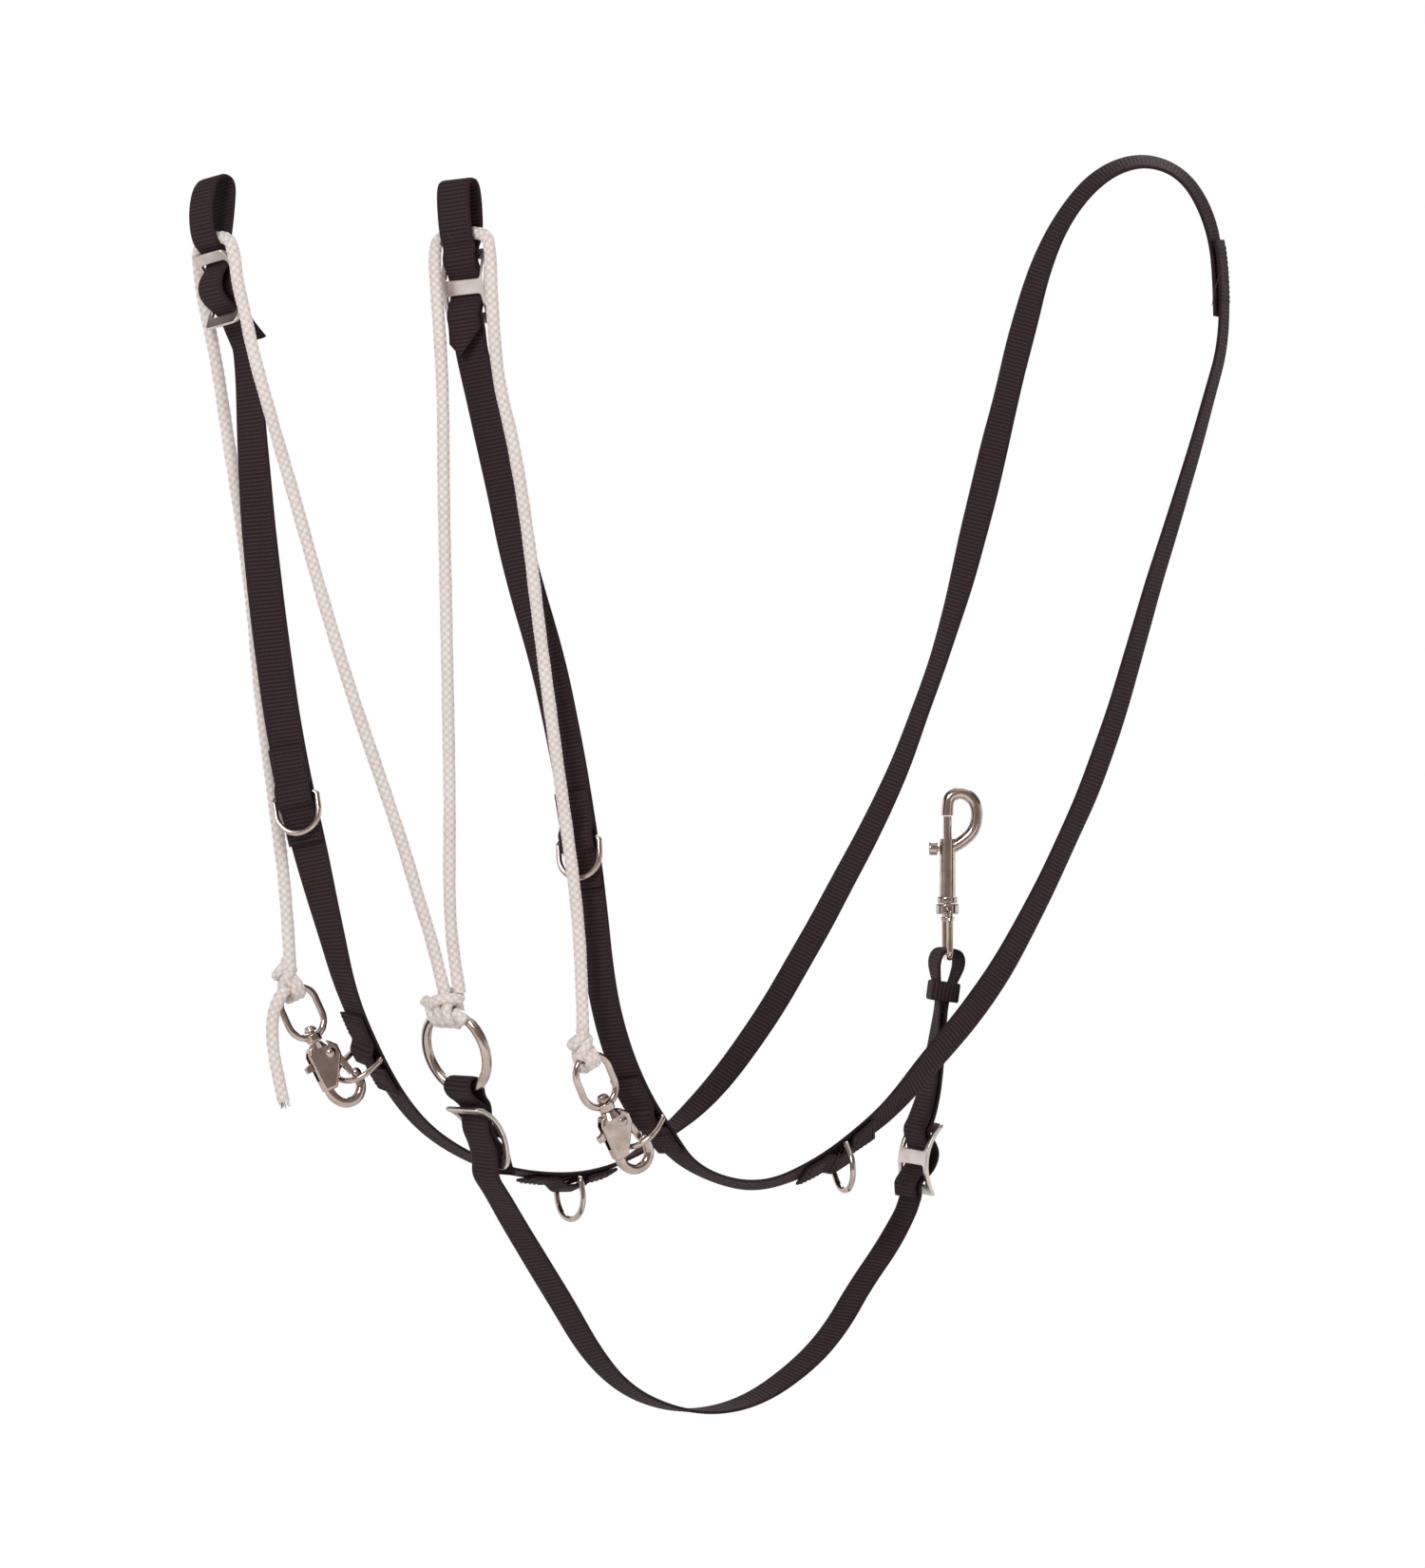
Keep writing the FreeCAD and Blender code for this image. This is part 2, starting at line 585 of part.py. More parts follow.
def bolt_body():
    """Barrel, curved hook and the headed swivel pin under the barrel."""
    axis = Vector(BOLT_X, 0, 0)

    def up(height):
        return axis + Vector(0, 0, height)

    barrel = bar(up(28.2), up(61.5), 4.2)
    flare = softened(bar(up(28.2), up(31.4), 5.2), 0.8)
    hook = [(0.5, 56.5), (6, 59.5), (12, 64.5), (14.8, 73), (13.2, 81.5), (6.5, 86), (-0.2, 83.4),
            (BOLT_X, 77.5), (BOLT_X, 73.6)]
    edges, radii = rounded_edges([Vector(x, 0, z) for x, z in hook])
    body = barrel.fuse([flare, sweep(edges, 3.1)])
    pin = bar(up(20.5), up(28.4), 2.0)
    head = softened(bar(up(19.0), up(21.0), 3.6), 0.5)
    body = body.fuse([pin, head])
    bore = bar(up(33.0), up(73.3), BOLT_RADIUS + 0.1)
    slot = box((BOLT_X - 12, -1.7, 44.5), (BOLT_X, 1.7, 60.2))
    return body.cut([bore, slot])


def bolt_plunger():
    """The sliding bolt with its thumb knob."""
    axis = Vector(BOLT_X, 0, 0)
    rod = bar(axis + Vector(0, 0, 49), axis + Vector(0, 0, BOLT_TIP), BOLT_RADIUS)
    knob = axis + Vector(0, 0, KNOB_HEIGHT)
    neck = bar(knob, knob - Vector(7, 0, 0), 1.5)
    head = softened(bar(knob - Vector(5.2, 0, 0), knob - Vector(9.6, 0, 0), 3.6), 0.9)
    return rod.fuse([neck, head])


def bolt_spring():
    """The coil spring under the bolt."""
    turns = Part.makeHelix(2.4, 14.4, 1.7)
    first = turns.Edges[0]
    start = first.valueAt(first.FirstParameter)
    tangent = first.tangentAt(first.FirstParameter)
    section = Part.Wire(Part.Circle(start, tangent, 0.4).toShape())
    coil = Part.Wire(turns.Edges).makePipeShell([section], True, True)
    coil.translate(Vector(BOLT_X, 0, 33.8))
    return coil


def bolt_eye():
    """A square eye for webbing: x is across its plane, y along its lower bar."""
    half = 12.2
    loop = [(-4.5, 24.6), (-half, 21.5), (-half, 0), (half, 0), (half, 21.5), (4.5, 24.6)]
    corner = 3.2
    points = [Vector(BOLT_X, y, z) for y, z in loop]
    edges = []
    start = points[0]
    for i in range(1, len(points) - 1):
        come, go = unit(points[i] - points[i - 1]), unit(points[i + 1] - points[i])
        first, last = points[i] - come * corner, points[i] + go * corner
        turn = come.getAngle(go)
        edges += [line_edge(start, first),
                  arc_edge(first, arc_point(first, points[i], last, turn, 0.5), last)]
        start = last
    edges.append(line_edge(start, points[-1]))
    wire = sweep(edges, 1.6)
    axis = Vector(BOLT_X, 0, 0)
    collar = softened(bar(axis + Vector(0, 0, 22.4), axis + Vector(0, 0, 27.8), 6.0), 1.0)
    bore = bar(axis + Vector(0, 0, 15), axis + Vector(0, 0, 30), 2.1)
    return wire.fuse(collar).cut(bore)


# ---- soft trim ----------------------------------------------------------------------------------
def knot(centre, up, size, wire):
    """The outer shape of a knot, with room for the wire that it is tied round."""
    ball = Part.makeSphere(1.0)
    matrix = FreeCAD.Matrix()
    matrix.scale(size[0], size[1], size[2])
    shape = ball.transformGeometry(matrix)
    return place(shape, centre, Vector(1, 0, 0), Y_AXIS).cut(wire)


def keeper(end):
    """A band round the doubled strap below its loop."""
    spot, wide = end.twisted(87, 0)
    outer = box((-11.2, -5, -7.6), (11.2, 5, 7.6))
    inner = box((-9.9, -6, -6.2), (9.9, 6, 6.2))
    upright = [edge for edge in outer.Edges
               if abs(edge.tangentAt(edge.FirstParameter).y) > 0.9]
    return place(outer.makeFillet(2.0, upright).cut(inner), spot, wide, end.u)


# ---- the whole object ---------------------------------------------------------------------------
def save(name, shape):
    solids = shape.Solids
    state = "" if shape.isValid() and len(solids) == 1 else "  <-- look"
    print(name, round(shape.Volume), "mm3,", len(solids), "solid,", len(shape.Faces), "faces", state)
    (solids[0] if len(solids) == 1 else shape).exportStep("parts/" + name + ".step")


def free_strap(end, route, far_end=None, low=None):
    """A strap from one end's slide along its route, to another end's slide if it has one."""
    low = low or MAIN_LOW
    first, inner = end.at(*low[0]), end.at(*low[1])
    points = [first, first + unit(first - inner) * 8] + [Vector(p[:3]) for p in route]
    leans = [end.lean, end.lean] + [p[3] for p in route]
    if far_end:
        last, inner = far_end.at(*MAIN_LOW[0]), far_end.at(*MAIN_LOW[1])
        points += [last + unit(last - inner) * 14, last]
        leans += [far_end.lean, far_end.lean]
    return Strip(points, leaning(leans))


def main():
    os.makedirs("parts", exist_ok=True)
    left_bit = StrapEnd(travel=-1, **LEFT_BIT_END)
    right_bit = StrapEnd(travel=-1, **RIGHT_BIT_END)
    ring_end = StrapEnd(travel=-1, **RING_END)
    snap_end = StrapEnd(travel=1, **SNAP_END)

    rein_left = free_strap(left_bit, REIN_LEFT, low=LEFT_LOW)
    rein_right = free_strap(right_bit, REIN_RIGHT)
    chest = free_strap(ring_end, CHEST_STRAP, snap_end, low=RING_LOW)
    for name, strap in (("rein_left", rein_left), ("rein_right", rein_right),
                        ("chest_strap", chest)):
        print(name, "length", round(strap.far[-1]))
        save(name, strap.solid())
    save("rein_left_bit_loop", left_bit.web(left_bit_path()).solid())
    save("rein_right_bit_loop", right_bit.web(right_bit_path()).solid())
    save("chest_strap_ring_loop", ring_end.web(ring_end_path()).solid())
    save("chest_strap_snap_loop", snap_end.twisted_web(snap_end_path()).solid())

    slides = {"left_bit_slide": left_bit, "right_bit_slide": right_bit,
              "ring_slide": ring_end, "snap_slide": snap_end}
    for name, end in slides.items():
        save(name, end.slide())
    save("keeper_loop", keeper(snap_end))

    rings = {
        "upper_left_d_ring": HungRing(rein_left, (-426, -100, -320), 0, "down the strap"),
        "middle_left_d_ring": HungRing(rein_left, (-391, -77.5, -458), 0, (-0.74, -0.30, -0.65)),
        "lower_left_d_ring": HungRing(rein_left, (-292, 0, -519), -8, (0.10, -0.1, -1)),
        "upper_right_d_ring": HungRing(rein_right, (-288, -100, -342), 0, "down the strap"),
        "middle_right_d_ring": HungRing(rein_right, (-249.5, -80, -487), 0, (-0.60, -0.40, -0.72)),
        "lower_right_d_ring": HungRing(rein_right, (-154, -10, -507), -9, (0.10, -0.1, -1)),
    }
    for name, ring in rings.items():
        save(name, ring.solid())
        save(name.replace("d_ring", "chape"), ring.chape())

    wire_spot = ring_end.at(25.2, 5.2)
    ring_up = across(Vector(-0.151, -0.273, 0.950), ring_end.w)
    ring_centre = wire_spot + ring_up * RING_RADIUS
    ring_axis = ring_end.w.cross(ring_up)
    save("center_ring", Part.makeTorus(RING_RADIUS, RING_WIRE / 2, ring_centre, ring_axis))
    ring_room = Part.makeTorus(RING_RADIUS, RING_WIRE / 2 + KNOT_GAP, ring_centre, ring_axis)

    snaps = {
        "left": TriggerSnap(rings["middle_left_d_ring"], (-0.41, 0.015, 0.912), (0.35, -0.93, 0.19)),
        "right": TriggerSnap(rings["middle_right_d_ring"], (-0.36, -0.25, 0.9), (0.45, -0.87, 0.03)),
    }
    pieces = {"eye": snap_eye, "body": snap_body, "trigger": snap_trigger, "rivet": snap_rivet,
              "spring": snap_spring}
    for side, snap in snaps.items():
        for piece, make in pieces.items():
            save(side + "_snap_" + piece, snap.solid(make()))

    eye_spot, eye_bar = snap_end.twisted(104.8, 0)
    bolt_origin = eye_spot - Vector(BOLT_X, 0, 0)
    turned = unit(Vector(eye_bar.x, eye_bar.y, 0))
    for name, make in (("bolt_snap_body", bolt_body), ("bolt_snap_bolt", bolt_plunger),
                       ("bolt_snap_spring", bolt_spring)):
        shape = make()
        shape.translate(bolt_origin)
        save(name, shape)
    eye = bolt_eye()
    eye.translate(Vector(-BOLT_X, 0, 0))
    save("bolt_snap_eye", place(eye, eye_spot, turned.cross(Vector(0, 0, 1)), turned))

    save("draw_cord_left", cord("draw_cord_left", DRAW_CORD_LEFT))
    save("draw_cord_right", cord("draw_cord_right", DRAW_CORD_RIGHT))
    save("left_cord_tail", cord("left_cord_tail", LEFT_TAIL))
    ring_top = ring_centre + ring_up * (RING_RADIUS + 1)
    save("ring_knot", knot(ring_top, ring_up, (12, 7.5, 8.5), ring_room))
    for side, snap in snaps.items():
        top = EYE_STRAIGHT + EYE_RADIUS
        room = snap.solid(sweep([arc_edge(Vector(-EYE_RADIUS, EYE_STRAIGHT, 0), Vector(0, top, 0),
                                          Vector(EYE_RADIUS, EYE_STRAIGHT, 0))], EYE_WIRE))
        save(side + "_snap_knot", knot(snap.at((0, top + 2, 0)), snap.y, (6.5, 6.5, 9), room))


main()
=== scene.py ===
import json
import math
import random

import bpy
import numpy as np
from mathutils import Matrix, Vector


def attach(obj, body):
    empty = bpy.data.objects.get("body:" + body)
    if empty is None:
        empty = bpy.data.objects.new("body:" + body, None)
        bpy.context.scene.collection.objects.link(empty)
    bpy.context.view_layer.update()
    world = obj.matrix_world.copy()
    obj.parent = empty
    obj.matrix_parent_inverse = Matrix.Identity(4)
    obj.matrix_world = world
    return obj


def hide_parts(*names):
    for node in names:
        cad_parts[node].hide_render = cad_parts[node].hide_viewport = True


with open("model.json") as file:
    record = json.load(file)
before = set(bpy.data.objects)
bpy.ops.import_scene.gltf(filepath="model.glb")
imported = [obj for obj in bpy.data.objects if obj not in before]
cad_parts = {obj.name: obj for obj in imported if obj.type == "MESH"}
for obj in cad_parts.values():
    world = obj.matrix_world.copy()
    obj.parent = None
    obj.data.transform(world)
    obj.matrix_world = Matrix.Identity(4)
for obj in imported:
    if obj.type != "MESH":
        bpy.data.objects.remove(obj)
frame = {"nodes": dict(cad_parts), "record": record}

scene = bpy.context.scene
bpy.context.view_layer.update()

# ---- camera ---------------------------------------------------------------------------------
camera_data = bpy.data.cameras.new("camera")
camera_data.sensor_width = 36.0
camera_data.lens = 222.6
camera_data.clip_end = 100.0
camera = bpy.data.objects.new("camera", camera_data)
camera.location = (-0.218, -5.0, -0.317)
camera.rotation_euler = (math.radians(90), 0, 0)
scene.collection.objects.link(camera)
scene.camera = camera

# ---- routes: metres; the straps' fourth number is their lean in degrees -----------------------
DRAW_CORD_LEFT = [
    (-0.3535, -0.090, -0.424), (-0.359, -0.089, -0.400), (-0.366, -0.090, -0.378),
    (-0.374, -0.092, -0.350), (-0.386, -0.095, -0.314), (-0.400, -0.098, -0.273),
    (-0.414, -0.102, -0.227), (-0.428, -0.106, -0.176), (-0.440, -0.112, -0.134),
    (-0.4495, -0.115, -0.100), (-0.4535, -0.115, -0.080), (-0.4575, -0.115, -0.064),
    (-0.459, -0.113, -0.050), (-0.4626, -0.1077, -0.0396), (-0.4786, -0.0892, -0.0436),
    (-0.4788, -0.0835, -0.055), (-0.476, -0.081, -0.074), (-0.470, -0.083, -0.100),
    (-0.463, -0.086, -0.146), (-0.453, -0.086, -0.209), (-0.447, -0.088, -0.276),
    (-0.439, -0.090, -0.334), (-0.434, -0.090, -0.372), (-0.432, -0.0875, -0.4105),
]
DRAW_CORD_RIGHT = [
    (-0.346, -0.090, -0.423), (-0.350, -0.0895, -0.400), (-0.3515, -0.090, -0.370),
    (-0.351, -0.091, -0.329), (-0.352, -0.094, -0.271), (-0.353, -0.098, -0.216),
    (-0.354, -0.102, -0.164), (-0.354, -0.106, -0.120), (-0.356, -0.106, -0.086),
    (-0.358, -0.105, -0.062), (-0.3585, -0.101, -0.048), (-0.3566, -0.096, -0.040),
    (-0.3323, -0.110, -0.038), (-0.330, -0.1155, -0.048), (-0.3295, -0.119, -0.062),
    (-0.3285, -0.118, -0.084), (-0.326, -0.115, -0.114), (-0.318, -0.115, -0.146),
    (-0.311, -0.115, -0.190), (-0.306, -0.115, -0.233), (-0.299, -0.115, -0.286),
    (-0.291, -0.115, -0.343), (-0.286, -0.112, -0.382), (-0.284, -0.112, -0.415),
    (-0.2832, -0.1115, -0.445),
]
LEFT_TAIL = [
    (-0.434, -0.094, -0.420), (-0.4385, -0.095, -0.427), (-0.441, -0.095, -0.437),
    (-0.4405, -0.095, -0.451), (-0.438, -0.095, -0.464), (-0.435, -0.095, -0.478),
]
REIN_LEFT = [
    (-0.448, -0.100, -0.186, 22), (-0.441, -0.100, -0.247, 15), (-0.433, -0.100, -0.300, 15),
    (-0.424, -0.100, -0.341, 17), (-0.413, -0.099, -0.384, 42), (-0.403, -0.093, -0.424, 58),
    (-0.391, -0.077, -0.453, 63), (-0.376, -0.057, -0.481, 67), (-0.356, -0.041, -0.501, 71),
    (-0.329, -0.022, -0.515, 76), (-0.299, -0.004, -0.520, 79), (-0.272, 0.010, -0.517, 80),
    (-0.246, 0.019, -0.501, 105), (-0.222, 0.024, -0.481, 126), (-0.195, 0.027, -0.446, 130),
    (-0.166, 0.028, -0.397, 130), (-0.142, 0.028, -0.352, 127), (-0.124, 0.027, -0.316, 123),
    (-0.108, 0.025, -0.274, 116), (-0.096, 0.022, -0.238, 119), (-0.085, 0.018, -0.196, 135),
    (-0.074, 0.014, -0.151, 139), (-0.066, 0.010, -0.116, 130), (-0.058, 0.006, -0.083, 134),
    (-0.049, 0.003, -0.051, 125), (-0.037, 0.000, -0.024, 117), (-0.018, 0.000, -0.002, 118),
    (0.004, 0.000, 0.006, 114), (0.025, 0.000, -0.002, 112), (0.038, 0.000, -0.023, 114),
    (0.043, 0.000, -0.050, 108), (0.043, 0.000, -0.076, 106),
]
REIN_RIGHT = [
    (-0.324, -0.100, -0.166, 26), (-0.315, -0.100, -0.209, 20), (-0.302, -0.100, -0.252, 18),
    (-0.293, -0.100, -0.293, 22), (-0.286, -0.100, -0.334, 24), (-0.280, -0.100, -0.375, 28),
    (-0.275, -0.100, -0.415, 40), (-0.268, -0.097, -0.448, 40), (-0.257, -0.088, -0.475, 40),
    (-0.245, -0.077, -0.493, 50), (-0.232, -0.064, -0.510, 68), (-0.213, -0.050, -0.520, 76),
    (-0.192, -0.036, -0.523, 73), (-0.171, -0.022, -0.516, 71), (-0.150, -0.008, -0.503, 70),
    (-0.127, 0.005, -0.486, 58), (-0.103, 0.014, -0.458, 48), (-0.078, 0.018, -0.428, 45),
    (-0.056, 0.019, -0.391, 52), (-0.035, 0.018, -0.348, 57), (-0.019, 0.016, -0.310, 53),
    (-0.004, 0.013, -0.264, 57), (0.006, 0.010, -0.227, 60), (0.016, 0.007, -0.193, 63),
    (0.027, 0.004, -0.158, 67), (0.038, 0.001, -0.119, 71), (0.046, 0.0006, -0.088, 73),
    (0.0458, 0.0006, -0.050, 73), (0.0432, 0.0006, -0.0364, 72),
]
CHEST_STRAP = [
    (-0.3165, -0.046, -0.547, 50), (-0.298, -0.036, -0.578, 48), (-0.281, -0.030, -0.608, 52),
    (-0.263, -0.025, -0.628, 66), (-0.240, -0.020, -0.638, 79), (-0.217, -0.015, -0.640, 98),
    (-0.194, -0.008, -0.633, 114), (-0.171, 0.002, -0.617, 122), (-0.154, 0.012, -0.598, 125),
    (-0.141, 0.022, -0.576, 124), (-0.1265, 0.031, -0.556, 124),
]
MM = 0.001
WEB_WIDTH = 19.0 * MM
WEB_THICK = 2.0 * MM
RIB_PITCH = 2.0 * MM
CORD = 6.4 * MM
KNOT_CORD = 5.6 * MM  # the same cord, pulled tight


# ---- vectors and splines ----------------------------------------------------------------------
def unit(v):
    v = np.asarray(v, dtype=float)
    return v / np.linalg.norm(v, axis=-1, keepdims=True)


def width_axis(tangent, lean):
    in_picture = unit(np.cross((0, 1, 0), tangent))
    into_picture = unit(np.array((0, 1.0, 0)) - tangent * tangent[1])
    angle = math.radians(lean)
    return in_picture * math.cos(angle) + into_picture * math.sin(angle)


def spline_points(points, fineness=32):
    """Points along the NURBS spline that has these control points."""
    curve = bpy.data.curves.new("route", "CURVE")
    curve.dimensions = "3D"
    curve.resolution_u = fineness
    spline = curve.splines.new("NURBS")
    spline.points.add(len(points) - 1)
    for spot, place in zip(spline.points, points):
        spot.co = (*place, 1.0)
    spline.order_u = 3
    spline.use_endpoint_u = True
    holder = bpy.data.objects.new("route", curve)
    mesh = bpy.data.meshes.new_from_object(holder)
    line = np.array([vertex.co[:] for vertex in mesh.vertices])
    bpy.data.meshes.remove(mesh)
    bpy.data.objects.remove(holder)
    bpy.data.curves.remove(curve)
    return line


def along(line):
    steps = np.linalg.norm(np.diff(line, axis=0), axis=1)
    return np.concatenate([[0.0], np.cumsum(steps)])


def even(line, far, spots):
    return np.stack([np.interp(spots, far, line[:, k]) for k in range(3)], axis=1)


class Web:
    """A strap's centre line, directions across it and normals, at even steps."""

    def __init__(self, points, wides, step=RIB_PITCH / 6):
        line, wide = spline_points(points), spline_points(wides)
        far = along(line)
        self.length = far[-1]
        self.s = np.linspace(0, self.length, max(8, round(self.length / step)))
        self.line = even(line, far, self.s)
        self.tangent = unit(np.gradient(self.line, axis=0))
        wide = even(wide, far, self.s)
        wide -= self.tangent * np.sum(wide * self.tangent, axis=1, keepdims=True)
        self.wide = unit(wide)
        self.normal = np.cross(self.wide, self.tangent)

    def nearest(self, point):
        return self.s[np.argmin(np.linalg.norm(self.line - np.asarray(point), axis=1))]

    def at(self, s, w=0.0, off=0.0):
        k = min(max(int(np.searchsorted(self.s, s)), 0), len(self.s) - 1)
        return self.line[k] + self.wide[k] * w + self.normal[k] * off

    def frame(self, s):
        k = min(max(int(np.searchsorted(self.s, s)), 0), len(self.s) - 1)
        return self.line[k], self.tangent[k], self.wide[k], self.normal[k]


def new_mesh(name, verts, faces, material, attributes=None, uv=None, body="harness", smooth=True):
    mesh = bpy.data.meshes.new(name)
    mesh.from_pydata(np.asarray(verts).tolist(), [], faces)
    if smooth:
        mesh.polygons.foreach_set("use_smooth", [True] * len(mesh.polygons))
    for key, values in (attributes or {}).items():
        layer = mesh.attributes.new(key, "FLOAT", "POINT")
        layer.data.foreach_set("value", np.asarray(values, dtype=np.float32))
    if uv is not None:
        layer = mesh.uv_layers.new(name="UVMap")
        corner = np.zeros(len(mesh.loops), dtype=np.int32)
        mesh.loops.foreach_get("vertex_index", corner)
        layer.data.foreach_set("uv", np.asarray(uv, dtype=np.float32)[corner].ravel())
    mesh.materials.append(material)
    piece = bpy.data.objects.new(name, mesh)
    scene.collection.objects.link(piece)
    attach(piece, body)
    return piece


def grid_faces(rows, columns, caps=True):
    r = np.arange(rows - 1)[:, None] * columns
    c = np.arange(columns)[None, :]
    n = (c + 1) % columns
    quads = np.stack([r + c, r + n, r + n + columns, r + c + columns], axis=2)
    faces = quads.reshape(-1, 4).tolist()
    if caps:
        last = (rows - 1) * columns
        faces.append(list(range(columns - 1, -1, -1)))
        faces.append(list(range(last, last + columns)))
    return faces


# ---- materials --------------------------------------------------------------------------------
def material(name):
    made = bpy.data.materials.new(name)
    made.use_nodes = True
    tree = made.node_tree
    return made, tree.nodes, tree.links, tree.nodes["Principled BSDF"]


def ramp(nodes, stops):
    node = nodes.new("ShaderNodeValToRGB")
    for i, (place, color) in enumerate(stops):
        stop = node.color_ramp.elements[i] if i < 2 else node.color_ramp.elements.new(place)
        stop.position = place
        stop.color = (*color, 1.0)
    return node


def noise(nodes, links, source, scale, detail=4.0):
    node = nodes.new("ShaderNodeTexNoise")
    node.inputs["Scale"].default_value = scale
    node.inputs["Detail"].default_value = detail
    links.new(source, node.inputs["Vector"])
    return node


def bump(nodes, links, height, strength, distance, below=None):
    node = nodes.new("ShaderNodeBump")
    node.inputs["Strength"].default_value = strength
    node.inputs["Distance"].default_value = distance
    links.new(height, node.inputs["Height"])
    if below:
        links.new(below.outputs["Normal"], node.inputs["Normal"])
    return node


def math_node(nodes, links, kind, a, b):
    node = nodes.new("ShaderNodeMath")
    node.operation = kind
    for socket, value in zip(node.inputs, (a, b)):
        if isinstance(value, (int, float)):
            socket.default_value = value
        else:
            links.new(value, socket)
    return node.outputs[0]


def webbing_material():
    made, nodes, links, shader = material("webbing")
    place = nodes.new("ShaderNodeTexCoord")
    relief = nodes.new("ShaderNodeAttribute")
    relief.attribute_name = "relief"
    cross = nodes.new("ShaderNodeTexWave")
    cross.bands_direction = "X"
    cross.inputs["Scale"].default_value = 240.0
    cross.inputs["Distortion"].default_value = 1.5
    cross.inputs["Detail"].default_value = 2.0
    links.new(place.outputs["UV"], cross.inputs["Vector"])
    lint = noise(nodes, links, place.outputs["Object"], 900.0, 6.0)
    worn = noise(nodes, links, place.outputs["Object"], 35.0, 3.0)
    color = ramp(nodes, [(0.0, (0.0045, 0.0022, 0.0026)), (0.45, (0.019, 0.0098, 0.0118)),
                         (1.0, (0.062, 0.036, 0.042))])
    mix = math_node(nodes, links, "MULTIPLY", cross.outputs["Fac"], 0.22)
    # Painted light and shade: the relief darkens the gaps between ribs and lightens their crests;
    # threads, lint and wear add real tone.
    mix = math_node(nodes, links, "ADD", mix, math_node(nodes, links, "MULTIPLY",
                                                       relief.outputs["Fac"], 0.55))
    mix = math_node(nodes, links, "ADD", mix, math_node(nodes, links, "MULTIPLY",
                                                       lint.outputs["Fac"], 0.20))
    mix = math_node(nodes, links, "ADD", mix, math_node(nodes, links, "MULTIPLY",
                                                       worn.outputs["Fac"], 0.16))
    mix = math_node(nodes, links, "SUBTRACT", mix, 0.10)
    links.new(mix, color.inputs["Fac"])
    links.new(color.outputs["Color"], shader.inputs["Base Color"])
    shader.inputs["Roughness"].default_value = 0.72
    shader.inputs["Sheen Weight"].default_value = 0.04
    shader.inputs["Sheen Roughness"].default_value = 0.5
    shader.inputs["Sheen Tint"].default_value = (0.75, 0.45, 0.50, 1.0)
    shader.inputs["Specular IOR Level"].default_value = 0.18
    fine = bump(nodes, links, lint.outputs["Fac"], 0.35, 0.0003)
    threads = bump(nodes, links, cross.outputs["Fac"], 0.5, 0.0002, fine)
    links.new(threads.outputs["Normal"], shader.inputs["Normal"])
    return made


def cord_material():
    made, nodes, links, shader = material("cord")
    place = nodes.new("ShaderNodeTexCoord")
    relief = nodes.new("ShaderNodeAttribute")
    relief.attribute_name = "relief"
    fibre = noise(nodes, links, place.outputs["Object"], 2200.0, 5.0)
    stain = noise(nodes, links, place.outputs["Object"], 28.0, 3.0)
    # Painted shade: low relief, in the crevices between strands, takes the dark brown end of this ramp
    # and the strand crests take the light end; fibre and stain add real tone.
    color = ramp(nodes, [(0.0, (0.17, 0.13, 0.115)), (0.40, (0.54, 0.47, 0.43)),
                         (1.0, (0.88, 0.84, 0.805))])
    mix = math_node(nodes, links, "MULTIPLY", relief.outputs["Fac"], 0.62)
    mix = math_node(nodes, links, "ADD", mix, math_node(nodes, links, "MULTIPLY",
                                                       fibre.outputs["Fac"], 0.25))
    mix = math_node(nodes, links, "ADD", mix, math_node(nodes, links, "MULTIPLY",
                                                       stain.outputs["Fac"], 0.22))
    links.new(mix, color.inputs["Fac"])
    links.new(color.outputs["Color"], shader.inputs["Base Color"])
    shader.inputs["Roughness"].default_value = 0.85
    shader.inputs["Sheen Weight"].default_value = 0.3
    shader.inputs["Subsurface Weight"].default_value = 0.08
    shader.inputs["Subsurface Radius"].default_value = (0.004, 0.003, 0.002)
    fuzz = bump(nodes, links, fibre.outputs["Fac"], 0.4, 0.0003)
    links.new(fuzz.outputs["Normal"], shader.inputs["Normal"])
    return made


def metal_material(name, dark, bright, low, high, grain, strength):
    """Nickel plate: its tone and polish wander a little, with fine marks in the surface."""
    made, nodes, links, shader = material(name)
    place = nodes.new("ShaderNodeTexCoord")
    cloud = noise(nodes, links, place.outputs["Object"], 140.0, 5.0)
    mark = noise(nodes, links, place.outputs["Object"], grain, 3.0)
    color = ramp(nodes, [(0.3, dark), (0.7, bright)])
    links.new(cloud.outputs["Fac"], color.inputs["Fac"])
    links.new(color.outputs["Color"], shader.inputs["Base Color"])
    rough = nodes.new("ShaderNodeMapRange")
    rough.inputs["From Min"].default_value = 0.3
    rough.inputs["From Max"].default_value = 0.7
    rough.inputs["To Min"].default_value = low
    rough.inputs["To Max"].default_value = high
    links.new(mark.outputs["Fac"], rough.inputs["Value"])
    links.new(rough.outputs["Result"], shader.inputs["Roughness"])
    shader.inputs["Metallic"].default_value = 1.0
    dents = bump(nodes, links, cloud.outputs["Fac"], strength, 0.0005)
    scratches = bump(nodes, links, mark.outputs["Fac"], strength, 0.0001, dents)
    links.new(scratches.outputs["Normal"], shader.inputs["Normal"])
    return made


webbing = webbing_material()
white_cord = cord_material()
nickel = metal_material("nickel", (0.47, 0.38, 0.33), (0.68, 0.585, 0.53), 0.10, 0.20, 1400.0, 0.07)
satin = metal_material("satin_nickel", (0.66, 0.58, 0.54), (0.82, 0.75, 0.71), 0.26, 0.42, 2600.0,
                       0.22)
wire_steel = metal_material("spring_wire", (0.35, 0.34, 0.33), (0.55, 0.54, 0.52), 0.2, 0.35,
                            3000.0, 0.2)

for name, node in frame["nodes"].items():
    finish = nickel
    if name.endswith("slide"):
        finish = satin
    if name.endswith("spring"):
        finish = wire_steel
    node.data.materials.clear()
    node.data.materials.append(finish)


